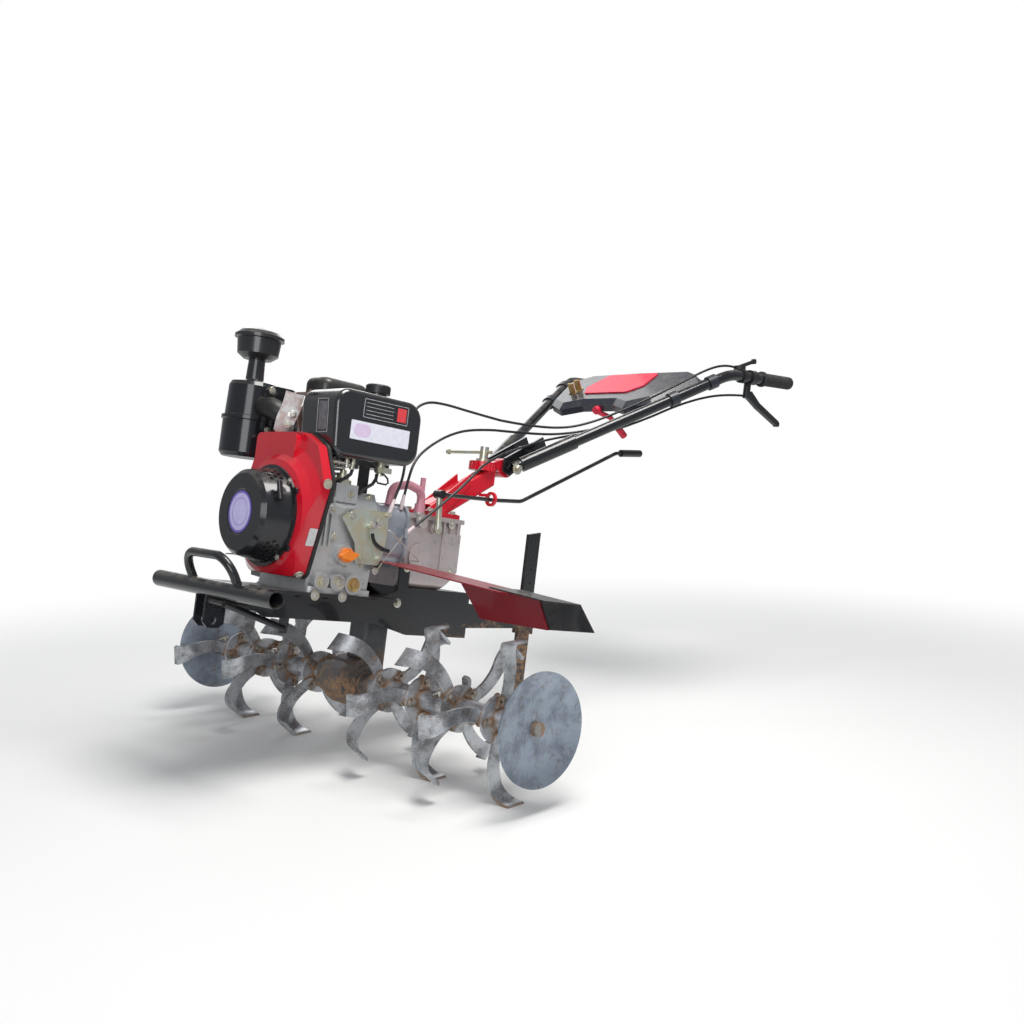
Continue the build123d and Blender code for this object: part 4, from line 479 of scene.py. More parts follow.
# Blade bolts and pins of the rotor
# Each blade is held to its flange by two bolts through its root, and each group of blades to the shaft by a
# pin with a spring ring, so that the width can be changed.
FLANGE_PLACES = (150, 280, 410, 540)
BLADES_ON_FLANGE = 4
BLADE_BOLT_RADII = (36, 47)
HEAD_SEAT = 12
NUT_SEAT = 5
blade_rows = []
for side in (1, -1):
    for number, flange_y in enumerate(FLANGE_PLACES):
        first_angle = 45 * (1 - number % 2)
        for blade in range(BLADES_ON_FLANGE):
            angle = radians(first_angle + 90 * blade) - LEAN
            hand = 1 if blade % 2 else -1
            for radius in BLADE_BOLT_RADII:
                x = radius * cos(angle)
                z = radius * sin(angle)
                blade_rows.append(((x, side * flange_y + hand * HEAD_SEAT, z), (0, hand, 0), 12))
                blade_rows.append(((x, side * flange_y - hand * NUT_SEAT, z), (0, -hand, 0), 12))
worn_bolt = scoured("blade_bolt_steel", rgb(0.42, 0.40, 0.37), rgb(0.16, 0.13, 0.11), 0.1)
bolts("blade_bolts", "rotor", worn_bolt, blade_rows)


RING_STEPS = 28


def ring_points(middle, first, second, radius, turns):
    """Points round part of a circle, in the plane of two directions."""
    points = []
    for step in range(RING_STEPS + 1):
        angle = 2 * pi * turns * step / RING_STEPS
        across = Vector(first) * radius * cos(angle)
        points.append(Vector(middle) + across + Vector(second) * radius * sin(angle))
    return points


def skin(form, rings):
    """Faces between each ring of points and the next."""
    for low, high in zip(rings, rings[1:]):
        for step in range(len(low)):
            after = (step + 1) % len(low)
            form.faces.new((low[step], low[after], high[after], high[step]))


def tube(form, points, radius, steps=10):
    """A round rod along points, closed at both ends, whose sides are carried along without twist."""
    side = (points[1] - points[0]).orthogonal().normalized()
    rings = []
    for number, point in enumerate(points):
        ahead = points[min(number + 1, len(points) - 1)] - points[max(number - 1, 0)]
        ahead.normalize()
        side = (side - side.project(ahead)).normalized()
        other = ahead.cross(side)
        ring = []
        for step in range(steps):
            angle = 2 * pi * step / steps
            ring.append(form.verts.new(point + (side * cos(angle) + other * sin(angle)) * radius))
        rings.append(ring)
    skin(form, rings)
    form.faces.new(rings[0][::-1])
    form.faces.new(rings[-1])


PIN_PLACES = (352, 612)
PIN_RADIUS = 4.5
PIN_HALF = 33
PIN_LOOP_RADIUS = 15
PIN_WIRE_RADIUS = 1.5
pin_form = bmesh.new()
for side in (1, -1):
    for pin_y in PIN_PLACES:
        foot = (0, side * pin_y, -PIN_HALF)
        shank = [(0, 0), (PIN_RADIUS, 0.8), (PIN_RADIUS, 60), (8, 60), (8, 66), (6.5, 67), (0, 67)]
        lathe(pin_form, shank, foot, (0.25, 0, 1))
        loop_middle = (16, side * pin_y, PIN_HALF - 12)
        loop = ring_points(loop_middle, (1, 0, 0.2), (0, 0.9, 0.4), PIN_LOOP_RADIUS, 0.94)
        tube(pin_form, loop, PIN_WIRE_RADIUS, 6)
piece("rotor_pins", pin_form, "rotor", bolt_finish)


# Engine castings
# Crankcase, cylinder, clutch housing and gearbox are sand cast aluminium, shot blasted dull silver.
# Painted shade darkens their creases, and oil leaves darker patches in clouds.
def casting(name, colour, stain_and_shade_colour, crease_shade=0.55):
    """Blasted cast aluminium: grain, cloudy tone, oily patches, and painted shade in the creases."""
    finish = Finish(name)
    cloud = finish.noise(0.05, 5.0, 0.6)
    shade = finish.mix(cloud, colour, darker(colour, 0.72))
    # Painted shade: the creases are darkened, as if shade fell in them. The oil mask below is real oily
    # patches.
    crease = finish.hollow(0.022).rise(0.30, 0.85) * crease_shade
    oil = finish.noise(0.025, 5.0, 0.7).rise(0.55, 0.72) * 0.35
    dark = crease.most(oil)
    shade = finish.mix(dark, shade, stain_and_shade_colour)
    bright = finish.edge(0.0012) * 0.5
    shade = finish.mix(bright, shade, rgb(0.80, 0.80, 0.80))
    rough = dark * 0.2 + 0.44 - bright * 0.2
    finish.put({"Base Color": shade, "Metallic": (1 - dark) * 0.55 + 0.2, "Roughness": rough})
    finish.bump(finish.noise(0.0011, 3.0, 0.7), 0.0003)
    return finish


dress(casting("crankcase_casting", rgb(0.62, 0.63, 0.64), rgb(0.10, 0.09, 0.08)), "crankcase")
dress(casting("cylinder_casting", rgb(0.50, 0.50, 0.51), rgb(0.06, 0.055, 0.05)), "cylinder")
dress(casting("clutch_casting", rgb(0.46, 0.49, 0.54), rgb(0.09, 0.085, 0.08)), "clutch_housing")
# The gearbox's pinkish grey is a painted reflection of the red paint around it.
dress(casting("gearbox_casting", rgb(0.60, 0.53, 0.53), rgb(0.12, 0.09, 0.08), crease_shade=0.4), "gearbox")


# Crankcase bolts and plugs
# Flange bolts round the side cover, and the drain plug in its brass washer.
bolts("crankcase_bolts", "machine", bolt_finish, [
    ((215, 116, 248), (0, 1, 0), 17),
    ((168, 116, 248), (0, 1, 0), 17),
    ((205, 110, 420), (0, 1, 0), 10),
    ((190, 110, 355), (0, 1, 0), 10),
    ((150, 100, 462), (0, 1, 0), 10),
    ((96, 99, 296), (0, 1, -0.09), 10),
    ((140, 98.6, 290), (0, 1, -0.09), 10),
    ((232, 89.2, 452), (0, 0.89, 0.46), 10),
    ((84, 84, 462), (0, 0.89, 0.46), 10),
])
plug_finish = plated("plug_brass", rgb(0.60, 0.42, 0.16), rgb(0.46, 0.33, 0.16), 0.3)
bolts("drain_plug", "machine", plug_finish, [((124, 118, 246), (0, 1, 0), 19)])
bolts("gearbox_bolts", "machine", bolt_finish, [
    ((-82, 86, 424), (0, 1, 0), 13),
    ((-193, 84, 424), (0, 1, 0), 12),
    ((-60, 85, 300), (0, 1, 0), 12),
    ((-205, 83, 300), (0, 1, 0), 12),
    ((-82, -86, 424), (0, -1, 0), 13),
    ((-193, -84, 424), (0, -1, 0), 12),
    ((-230, 50, 410), (-1, 0, 0), 12),
    ((-230, -50, 410), (-1, 0, 0), 12),
    ((-230, 50, 310), (-1, 0, 0), 12),
    ((-230, -50, 310), (-1, 0, 0), 12),
])


# Fan shroud
# Pressed steel cowl over the flywheel fan, in gloss red, bolted to the crankcase against a black seal.
shroud_paint = painted("shroud_red", rgb(0.62, 0.006, 0.022), gloss=0.24, dusty=0.16, worn=0.35, coat=0.7)
dress(shroud_paint, "fan_shroud")


def strap(form, points, wide, thick, out):
    """A flat strip of sheet along points, wide across and thick along out."""
    out = Vector(out).normalized()
    rings = []
    for number, point in enumerate(points):
        ahead = (points[min(number + 1, len(points) - 1)] - points[max(number - 1, 0)]).normalized()
        across = ahead.cross(out).normalized() * wide / 2
        top = out * thick
        corners = (point - across, point + across, point + across + top, point - across + top)
        rings.append([form.verts.new(corner) for corner in corners])
    skin(form, rings)
    form.faces.new(rings[0][::-1])
    form.faces.new(rings[-1])


# The side walls of the duct at the cowl's top
duct_form = bmesh.new()
DUCT_MIDDLE = 276
DUCT_WIDE = 39
DUCT_SHEET = 2.0
for side, walls in (
    (1, [(52.0, 520), (55.0, 552), (56.6, 570), (51.6, 581), (44, 585)]),
    (-1, [(-112.6, 520), (-113.0, 552), (-113.0, 570), (-108.6, 581), (-101, 585)]),
):
    run = [Vector((DUCT_MIDDLE, y, z)) for y, z in walls]
    strap(duct_form, run, DUCT_WIDE, DUCT_SHEET, (0, side, 0.6))
piece("duct_walls", duct_form, "machine", shroud_paint)


# Seal, foil and bolts of the fan shroud
# A black rubber channel runs between cowl and crankcase, and bolts hold the cowl. A blank foil plate sits on
# its side.
COWL_SEAM = [(104, 252), (168, 478), (128, 560), (60, 592), (-118, 592), (-160, 480), (-98, 252)]
COWL_CORNER = 22
CORNER_STEPS = 6


def rounded(corners, radius):
    """A closed outline of flat corners with each corner rounded by an arc."""
    points = []
    for number, corner in enumerate(corners):
        corner = Vector(corner)
        before = (Vector(corners[number - 1]) - corner).normalized()
        after = (Vector(corners[(number + 1) % len(corners)]) - corner).normalized()
        half = before.angle(after) / 2
        middle = corner + (before + after).normalized() * radius / sin(half)
        start = corner + before * radius / tan(half) - middle
        sweep = (corner + after * radius / tan(half) - middle).angle_signed(start)
        for step in range(CORNER_STEPS + 1):
            angle = sweep * step / CORNER_STEPS
            points.append(middle + Matrix.Rotation(angle, 2) @ start)
    return points


def moulded(name, colour, gloss, dusty=0.25, grain=0.0008, depth=0.00008, coat=0.0):
    """Moulded plastic or rubber: fine grain, faint flow clouds, dust on top and in creases."""
    finish = Finish(name)
    shade = finish.mix(finish.noise(0.04, 4.0, 0.6), colour, darker(colour, 0.75))
    film = finish.facing_up().rise(0.3, 0.95) * finish.noise(0.03, 5.0, 0.65).rise(0.35, 0.8) * dusty
    film = film.most(finish.hollow(0.015).rise(0.45, 1.0) * dusty)
    shade = finish.mix(film, shade, DUST)
    scuff = finish.noise(0.004, 5.0, 0.75, (1, 0.3, 1)).rise(0.56, 0.72)
    finish.put({
        "Base Color": shade,
        "Roughness": film * 0.4 + gloss + scuff * 0.12,
        "Coat Weight": (1 - film) * coat,
        "Coat Roughness": 0.08,
    })
    finish.bump(finish.noise(grain, 3.0), depth)
    return finish


seal_form = bmesh.new()
SEAL_FRONT = 257.0
SEAL_BACK = 246.5
SEAL_PROUD = 3.4
seal_rings = []
SEAL_SECTION = [
    # x, how far it stands out
    (SEAL_BACK, 0.0), (SEAL_BACK + 1, SEAL_PROUD), (SEAL_FRONT - 1, SEAL_PROUD), (SEAL_FRONT, 0.0),
]
outline = rounded(COWL_SEAM, COWL_CORNER)
for x, proud in SEAL_SECTION:
    ring = []
    for number, point in enumerate(outline):
        along = outline[(number + 1) % len(outline)] - outline[number - 1]
        out = Vector((along.y, -along.x)).normalized() * proud
        spot = point + out
        ring.append(seal_form.verts.new((x, spot.x, spot.y)))
    seal_rings.append(ring)
skin(seal_form, seal_rings)
piece("cowl_seal", seal_form, "machine", moulded("seal_rubber", rgb(0.013, 0.013, 0.014), 0.5, 0.3))
bolts("cowl_bolts", "machine", bolt_finish, [
    ((267, 166.2, 473), (0, 1, -0.09), 13),
    ((272, 101.7, 258), (0, 0.66, -0.75), 13),
    ((267, -158.3, 474), (0, -0.98, -0.2), 13),
    ((272, -95.5, 258), (0, -0.66, -0.75), 13),
    ((316, 84, 471), (1, 0, 0), 8),
    ((316, 72, 292), (1, 0, 0), 8),
    ((316, -84, 471), (1, 0, 0), 8),
    ((316, -72, 292), (1, 0, 0), 8),
])


def printed(name, colour, second, gloss=0.35, metallic=0.0):
    """Printed film: two close tones in soft clouds, and fine scratches with dust in them."""
    finish = Finish(name)
    shade = finish.mix(finish.noise(0.012, 4.0, 0.6).rise(0.35, 0.65), colour, second)
    rub = finish.noise(0.0025, 5.0, 0.75, (1, 0.2, 1)).rise(0.60, 0.75)
    shade = finish.mix(rub * 0.35, shade, DUST)
    finish.put({"Base Color": shade, "Roughness": rub * 0.3 + gloss, "Metallic": metallic})
    finish.bump(finish.noise(0.004, 3.0), 0.00012)
    return finish


PLATE_SUNK = 0.2


def plate_on(form, corner, across, down, thick, radius):
    """A flat plate from its corner and two edges, with rounded corners, standing out by thick."""
    corner = Vector(corner)
    across = Vector(across)
    down = Vector(down)
    out = down.cross(across).normalized()
    wide = across.length
    tall = down.length
    ring = []
    right = wide - radius
    low_edge = tall - radius
    arcs = [(radius, radius, 180), (right, radius, 270), (right, low_edge, 0), (radius, low_edge, 90)]
    for x, y, start in arcs:
        for turn in (0, 22.5, 45, 67.5, 90):
            angle = radians(start + turn)
            ring.append((x + radius * cos(angle), y + radius * sin(angle)))
    low = []
    high = []
    for x, y in ring:
        place = corner + across.normalized() * x + down.normalized() * y
        low.append(form.verts.new(place - out * PLATE_SUNK))
        high.append(form.verts.new(place + out * thick))
    form.faces.new(high)
    form.faces.new(low[::-1])
    skin(form, [low, high])


foil_form = bmesh.new()
plate_on(foil_form, (281, 138.0, 368), (-22, 0, 0), (0, -11.6, -41), 0.6, 1.5)
foil = printed("foil", rgb(0.72, 0.72, 0.72), rgb(0.60, 0.61, 0.62), 0.34, 0.6)
piece("foil_plate", foil_form, "machine", foil)


# Recoil starter
# Black pressed cover with slots, over the pull cord's spool.
recoil_paint = painted("recoil_black", rgb(0.014, 0.015, 0.018), gloss=0.30, dusty=0.22, worn=0.4)
dress(recoil_paint, "recoil_starter")


# Disc on the recoil starter
# A round printed disc, blank but for its rings, glued into the recess in the middle of the cover.
DISC_MIDDLE = (385, 0, 387)
DISC_SUNK = -0.5
DISC_STEPS = 64
DISC_RINGS = [
    # name, inner radius, outer radius, height, finish
    ("disc_field", 0, 44, 0.8, printed("disc_lilac", rgb(0.60, 0.55, 0.86), rgb(0.54, 0.49, 0.80))),
    ("disc_border", 44, 49.5, 1.0, printed("disc_purple", rgb(0.17, 0.11, 0.50), rgb(0.14, 0.10, 0.42))),
    ("disc_line", 31, 32.5, 1.0,
     printed("disc_line_purple", rgb(0.24, 0.18, 0.56), rgb(0.20, 0.15, 0.48))),
]
for name, inner, outer, height, finish in DISC_RINGS:
    ring_form = bmesh.new()
    profile = [(inner, DISC_SUNK), (outer, DISC_SUNK), (outer, height), (inner, height)]
    if inner:
        profile.append((inner, DISC_SUNK))
    lathe(ring_form, profile, DISC_MIDDLE, (1, 0, 0), DISC_STEPS)
    piece(name, ring_form, "machine", finish)


# Speed control, injection pump and other plated steel
# Yellow-green passivated zinc, dulled by fuel and dust.
zinc_finish = plated("passivated_zinc", rgb(0.60, 0.64, 0.58), rgb(0.60, 0.56, 0.40))
dress(zinc_finish, "speed_plate", "injection_pump", "fuel_cock", "gear_lever", "post_clamp")


# Speed control on its plate
# A large bolt and a curved arm stand on the plate, with small screws beside them. A thin rod and a wire run
# across it, and the cables end in pale ferrules.
bolts("speed_bolts", "machine", bolt_finish, [
    ((72, 115, 404), (0, 1, 0), 17),
    ((95, 126, 393), (0, 1, 0), 10),
    ((66, 129, 316), (0, 1, 0), 7),
    ((48, 127, 424), (0, 1, 0), 8),
    ((150, 115, 410), (0, 1, 0), 10),
    ((112, 115, 312), (0, 1, 0), 10),
    ((66, 119, 284), (0, 1, 0), 10),
])


def vectors(*places):
    """Places as vectors."""
    return [Vector(place) for place in places]


arm_form = bmesh.new()
ARM_FACE = 120.6
ARM_CURVE = [(90, 374), (86, 361), (79, 352), (68, 345), (52, 339), (32, 336)]
strap(arm_form, vectors(*((x, ARM_FACE, z) for x, z in ARM_CURVE)), 9, 3, (0, 1, 0))
strap(arm_form, vectors((40, 90, 304), (54, 104, 293), (72, 115, 280)), 13, 4, (-0.5, 1, 0))
piece("speed_arm", arm_form, "machine", painted("arm_black", rgb(0.016, 0.016, 0.018), worn=0.8))
link_form = bmesh.new()
ROD = vectors(
    (40, 116, 388), (36, 121, 386), (-14, 121, 354), (-66, 121, 323), (-71, 116, 320), (-72, 84, 319),
)
tube(link_form, ROD, 1.5, 8)
tube(link_form, vectors((-8, 119, 379), (30, 120, 330), (66, 122, 284)), 1.1, 8)
piece("speed_links", link_form, "machine", bolt_finish)
ferrule_form = bmesh.new()
ferrule = [(0, -3), (4.4, -3), (5.2, -1), (5.2, 20), (4.2, 23), (4.2, 34), (3.6, 36), (0, 36)]
lathe(ferrule_form, ferrule, (-12, 118, 382), (-0.776, 0, 0.63))
lathe(ferrule_form, ferrule, (44, 120, 432), (-0.4, -0.18, 0.9))
lathe(ferrule_form, ferrule, (-20, 82, 446), (-0.1, 0.02, 1))
piece("cable_ferrules", ferrule_form, "machine", moulded("ferrule_white", rgb(0.74, 0.62, 0.64), 0.35, 0.2))


# Oil filler cap
# Orange moulded wing cap on the crankcase.
dress(moulded("cap_orange", rgb(0.85, 0.22, 0.02), 0.35, 0.2), "oil_filler_cap")


# Fuel tank
# Blow moulded gloss black tank with a raised waist, its cap, cock and bracket.
dress(moulded("tank_black", rgb(0.010, 0.011, 0.014), 0.22, 0.25, 0.003, 0.00010, 0.8), "fuel_tank")
dress(moulded("cap_black", rgb(0.014, 0.014, 0.016), 0.38), "fuel_cap")
dress(painted("bracket_black", rgb(0.014, 0.014, 0.016)), "tank_bracket")


# Blank labels and fittings of the fuel tank
# Printed films on the near side and the front, all blank. Under the tank are its fuel fittings.
TANK_SIDE = 144
label_form = bmesh.new()
plate_on(label_form, (208, TANK_SIDE, 634), (-176, 0, 0), (0, 0, -45), 0.5, 2.0)
label_white = printed("label_white", rgb(0.72, 0.73, 0.80), rgb(0.66, 0.66, 0.76))
piece("tank_label", label_form, "machine", label_white)
patch_form = bmesh.new()
plate_on(patch_form, (199, TANK_SIDE, 628), (-50, 0, 0), (0, 0, -31), 0.7, 14.0)
lilac = printed("label_lilac", rgb(0.60, 0.48, 0.68), rgb(0.66, 0.54, 0.70))
piece("tank_label_patch", patch_form, "machine", lilac)
rule_form = bmesh.new()
RULES = [
    # left, top, wide, tall
    (177, 690, 134, 1.4),
    (177, 646, 134, 1.4),
    (177, 690, 1.4, 45),
    (44.4, 690, 1.4, 45),
    (170, 681, 82, 1.2),
    (170, 672, 82, 1.2),
    (170, 663, 82, 1.2),
    (170, 654, 82, 1.2),
]
RULE_THICK = 0.5
RULE_ROUNDING = 0.5
for left, top, wide, tall in RULES:
    plate_on(rule_form, (left, TANK_SIDE, top), (-wide, 0, 0), (0, 0, -tall), RULE_THICK, RULE_ROUNDING)
# The tank's front leans forward, 12 mm over a rise of 165 mm from its foot at z 541
for z in (676.5, 598):
    front_x = 245.6 + 12 * (z - 541) / 165
    plate_on(rule_form, (front_x, 66, z), (0, 44, 0), (0, 0, -1.4), RULE_THICK, RULE_ROUNDING)
for y in (66, 108.6):
    plate_on(rule_form, (255.4, y, 676), (0, 1.4, 0), (-5.7, 0, -78), RULE_THICK, RULE_ROUNDING)
rule_grey = printed("rule_grey", rgb(0.42, 0.42, 0.44), rgb(0.36, 0.36, 0.38))
piece("tank_rules", rule_form, "machine", rule_grey)
square_form = bmesh.new()
plate_on(square_form, (76, TANK_SIDE, 684), (-27, 0, 0), (0, 0, -33), 0.7, 1.0)
square_red = printed("square_red", rgb(0.66, 0.05, 0.06), rgb(0.58, 0.05, 0.06))
piece("tank_square", square_form, "machine", square_red)
front_form = bmesh.new()
plate_on(front_form, (254.6, 72, 670), (0, 33, 0), (-5.0, 0, -67), 0.5, 1.5)
film_grey = printed("film_grey", rgb(0.16, 0.16, 0.17), rgb(0.10, 0.10, 0.11))
piece("tank_front_film", front_form, "machine", film_grey)
fitting_form = bmesh.new()
spigot = [
    (0, 0), (4.5, 0), (4.5, 8), (6.4, 8), (6.4, 12),
    (4.5, 12), (4.5, 20), (6.4, 20), (6.4, 25), (0, 25),
]
lathe(fitting_form, spigot, (236, 120, 531), (-1, 0, 0))
tube(fitting_form, vectors((212, 120, 531), (200, 120, 531), (190, 120, 531)), 3.6)
lathe(fitting_form, spigot, (168, 116, 544), (0.1, 0, -1))
lathe(fitting_form, spigot, (190, 120, 546), (0, 0.1, -1))
piece("tank_fittings", fitting_form, "machine", bolt_finish)
hose_form = bmesh.new()
HOSE_RADIUS = 4.2
FEED = [(168, 116, 520), (170, 114, 508), (176, 108, 499), (184, 98, 492), (190, 88, 482)]
COCK_OUTLET = [(82, 99, 520), (84, 101, 508), (92, 100, 494), (106, 92, 482), (118, 84, 466)]
for places in (FEED, COCK_OUTLET):
    tube(hose_form, vectors(*places), HOSE_RADIUS)
fuel_hose = moulded("fuel_hose_black", rgb(0.014, 0.014, 0.015), 0.45, 0.3)
piece("fuel_hoses", hose_form, "machine", fuel_hose)
loop_form = bmesh.new()
LOOP = [
    (92, 112, 505), (86, 113, 498), (62, 113, 497), (55, 113, 502),
    (58, 113, 512), (68, 112, 520), (78, 108, 524),
]
tube(loop_form, vectors(*LOOP), 2.4)
piece("cock_handle", loop_form, "machine", moulded("handle_black", rgb(0.014, 0.014, 0.014), 0.4))


# Air cleaner
# Gloss black canister, with a pre-cleaner's bowl on its neck and a rubber elbow to the head.
canister_paint = painted("canister_black", rgb(0.012, 0.013, 0.017), gloss=0.26, dusty=0.25, worn=0.3)
dress(canister_paint, "air_cleaner")
dress(moulded("bowl_black", rgb(0.014, 0.015, 0.018), 0.3, 0.3, coat=0.5), "pre_cleaner")
dress(moulded("elbow_rubber", rgb(0.012, 0.012, 0.012), 0.45, 0.12), "intake_elbow")


# Back plate of the air cleaner and brace beside the tank
# A black pressed plate behind the canister carries it, and a bare folded steel brace stands beside the tank.
back_form = bmesh.new()
plate_on(back_form, (266, -160, 712), (-84, 0, 0), (0, 0, -126), 24, 20)
plate_on(back_form, (252, -136, 700), (-56, 0, 0), (0, 0, -102), 7, 16)
piece("cleaner_back", back_form, "machine", painted("back_black", rgb(0.012, 0.013, 0.016), worn=0.3))
bolts("cleaner_back_bolts", "machine", bolt_finish, [
    ((258, -136, 699), (0, 1, 0), 10),
    ((258, -136, 599), (0, 1, 0), 10),
    ((189, -136, 699), (0, 1, 0), 10),
])
brace_form = bmesh.new()
BRACE_TURNS = [
    (216, -66, 592), (246, -63, 594), (262, -62, 606),
    (258, -61, 622), (246, -60, 660), (240, -60, 694),
]
BRACE_OUT = (0.45, 0.9, 0)
strap(brace_form, vectors(*BRACE_TURNS), 46, 2.5, BRACE_OUT)
brace_steel = plated("brace_steel", rgb(0.62, 0.62, 0.62), rgb(0.46, 0.34, 0.32), 0.36)
piece("tank_brace", brace_form, "machine", brace_steel)
bolts("brace_bolts", "machine", bolt_finish, [
    ((244, -55, 640), BRACE_OUT, 12),
    ((254, -55, 616), BRACE_OUT, 10),
])


# Muffler and heat shield
# Heat proof black muffler behind a pressed steel guard that exhaust heat has browned.
muffler_finish = painted("muffler_black", rgb(0.030, 0.028, 0.027), gloss=0.5, dusty=0.4, worn=0.5)
dress(muffler_finish, "muffler")
shield_finish = plated("browned_steel", rgb(0.30, 0.16, 0.12), rgb(0.42, 0.34, 0.30), 0.4)
dress(shield_finish, "heat_shield")


# Gear lever, shift rod and breather hose
# Bent steel rods and a pink silicone hose.
dress(painted("rod_black", rgb(0.013, 0.013, 0.015), gloss=0.3, dusty=0.3), "shift_rod")
hose_finish = moulded("hose_pink", rgb(0.62, 0.27, 0.33), 0.38, 0.3)
hose_finish.put({"Subsurface Weight": 0.15, "Subsurface Radius": (0.01, 0.004, 0.004)})
dress(hose_finish, "breather_hose")


# Handle post and head
# Red painted box section post, and the swivelling head that holds the handlebar.
post_paint = painted("post_red", rgb(0.66, 0.008, 0.026), gloss=0.25, dusty=0.15, worn=0.5)
dress(post_paint, "handle_post", "handle_head")


# Bolts of the handle post and its head
# Four bolts hold the post's foot to the gearbox, and a bolt through the head is the handlebar's hinge.
bolts("post_bolts", "machine", bolt_finish, [
    ((x, y, 453), (0, 0, 1), 14) for x in (-225, -146) for y in (44, -44)
])
bolts("hinge_bolts", "handle", bolt_finish, [
    ((-420, side * 68.6, 606), (0, side, 0), 19) for side in (1, -1)
])


# Handlebar
# Two bent steel tubes in gloss black, with a blue-black moulded console, a red panel and moulded levers.
dress(painted("tube_black", rgb(0.012, 0.013, 0.016), gloss=0.22, dusty=0.25, worn=0.4), "handlebar")
dress(moulded("console_black", rgb(0.016, 0.019, 0.030), 0.36, 0.25, 0.0012, 0.00012, 0.3), "console")
red_moulding = moulded("panel_red", rgb(0.74, 0.008, 0.050), 0.5, 0.08, coat=0.15)
dress(red_moulding, "console_panel", "stop_lever")
lever_finish = moulded("lever_black", rgb(0.014, 0.014, 0.016), 0.42, 0.25)
dress(lever_finish, "clutch_lever", "throttle_lever")
grip_finish = moulded("grip_rubber", rgb(0.018, 0.018, 0.019), 0.6, 0.3, 0.0012, 0.0002)
dress(grip_finish, "grip_left", "grip_right")
brass_finish = plated("tarnished_brass", rgb(0.62, 0.42, 0.16), rgb(0.38, 0.27, 0.13), 0.34)
dress(brass_finish, "cable_bracket")


# Ribbed grips
# Moulded rubber grips pushed over the tube ends: a flange, a ribbed hold and a rounded end.
GRIP_END = Vector((-1310, 328, 1014))
GRIP_RUN = Vector((-1, 0, (1014 - 980) / 310)).normalized()
GRIP_LENGTH = 150
HOLD_RADIUS = 19.9
GROOVE_RADIUS = 18.4
RIB_PITCH = 6.5
FIRST_RIB = 14.0
PLAIN_END = 8
# The grip's profile: flange, ribs and rounded end
profile = [(16.1, -0.5), (23, 0), (24, 1.2), (24, 6.4), (23, 7.6), (19.6, 8.2)]
reach = FIRST_RIB
while reach < GRIP_LENGTH - PLAIN_END:
    profile += [(GROOVE_RADIUS, reach), (HOLD_RADIUS, reach + 0.9)]
    reach += RIB_PITCH
    profile += [(HOLD_RADIUS, reach - 2.2), (GROOVE_RADIUS, reach - 1.3)]
profile += [(HOLD_RADIUS, reach + 1), (HOLD_RADIUS, GRIP_LENGTH + 2), (18.6, GRIP_LENGTH + 4.6)]
profile += [(15.5, GRIP_LENGTH + 5.8), (0, GRIP_LENGTH + 5.9)]
for side_name, side in (("left", 1), ("right", -1)):
    start = GRIP_END - GRIP_RUN * GRIP_LENGTH
    start.y *= side
    grip_form = bmesh.new()
    lathe(grip_form, profile, start, GRIP_RUN, 32)
    made = piece(f"ribbed_grip_{side_name}", grip_form, "handle", grip_finish, 50)
    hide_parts(f"grip_{side_name}")


# Control cables
# Bowden cables in smooth black jackets, from the clutch lever, the throttle and the console down to the
# engine. The handlebar moves them. Each has two lengths that meet over the swivel: the lower runs from
# machine to head, the upper from head to handle.
CABLE_DIAMETER = 0.007
jacket = moulded("cable_jacket", rgb(0.012, 0.012, 0.014), 0.4, 0.2, 0.004, 0.00003)
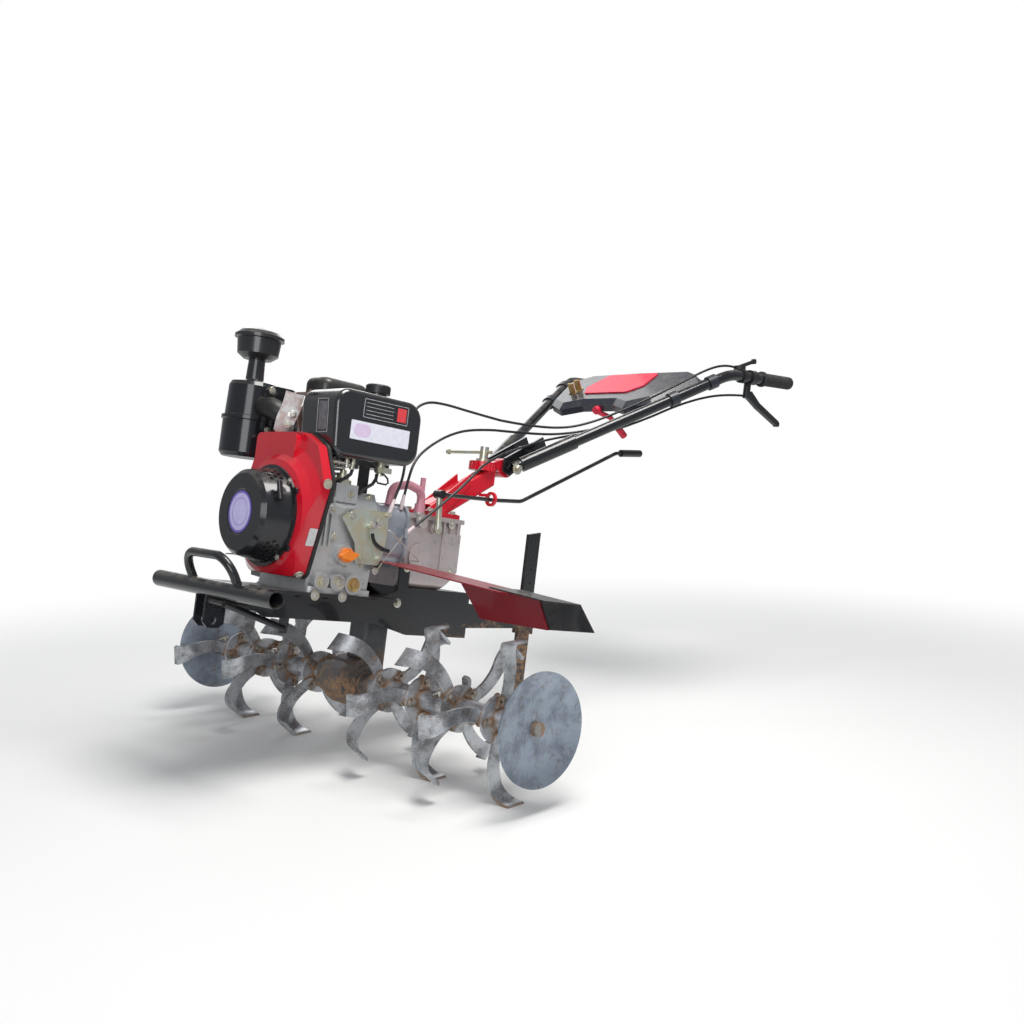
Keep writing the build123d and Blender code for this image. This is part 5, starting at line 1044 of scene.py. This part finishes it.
# name, metres below and above the swivel, number of the point over it, places from the lever down
CABLES = [
    ("clutch_cable", 0.425, 0.858, 9, [
        (-1104, 306, 936), (-1040, 300, 927), (-950, 284, 903), (-862, 252, 862), (-775, 212, 806),
        (-690, 160, 756), (-600, 106, 731), (-510, 84, 702), (-430, 80, 671), (-352, 80, 637),
        (-285, 86, 604), (-225, 104, 556), (-160, 118, 502), (-16, 118, 385)]),
    ("throttle_cable", 0.615, 0.822, 9, [
        (-1046, 308, 1012), (-1010, 304, 1012), (-935, 298, 986), (-858, 264, 930), (-780, 224, 872),
        (-700, 186, 819), (-625, 146, 772), (-560, 98, 742), (-450, 58, 731), (-352, 48, 730),
        (-250, 46, 733), (-150, 46, 738), (-85, 48, 732), (-40, 54, 700), (-24, 62, 640),
        (-20, 76, 575), (-2, 96, 518), (26, 112, 474), (46, 121, 430)]),
    ("lift_cable", 0.471, 0.507, 6, [
        (-800, 187, 842), (-768, 180, 820), (-722, 158, 786), (-648, 116, 752), (-560, 70, 724),
        (-450, 48, 710), (-352, 34, 702), (-270, 34, 691), (-185, 46, 664), (-110, 58, 622),
        (-54, 72, 578), (-28, 84, 520), (-20, 82, 444)]),
]


def smooth_path(route):
    """The points of a smooth line whose control points are the route's, in metres."""
    line = bpy.data.curves.new("route", "CURVE")
    line.dimensions = "3D"
    line.resolution_u = 10
    spline = line.splines.new("NURBS")
    spline.points.add(len(route) - 1)
    for point, place in zip(spline.points, route):
        point.co = (*place, 1)
    spline.order_u = 3
    spline.use_endpoint_u = True
    holder = bpy.data.objects.new("route", line)
    bpy.context.scene.collection.objects.link(holder)
    bpy.context.view_layer.update()
    sampled = bpy.data.meshes.new_from_object(holder)
    points = [vertex.co.copy() for vertex in sampled.vertices]
    bpy.data.objects.remove(holder)
    return points


def cable_length(name, route):
    """One length of cable along its route from one body to the other, fixed in place."""
    points = smooth_path(route)
    form = bmesh.new()
    tube(form, points, CABLE_DIAMETER / 2)
    mesh = bpy.data.meshes.new(name)
    form.to_mesh(mesh)
    form.free()
    mesh.materials.append(jacket.material)
    mesh.shade_smooth()
    made = bpy.data.objects.new(f"{name}_jacket", mesh)
    bpy.context.scene.collection.objects.link(made)
    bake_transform(made)
    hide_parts(name)


for name, below, above, number, places in CABLES:
    route = [MACHINE @ Vector(place) for place in places]
    cable_length(f"{name}_lower", route[number:][::-1])
    cable_length(f"{name}_upper", route[:number + 1][::-1])
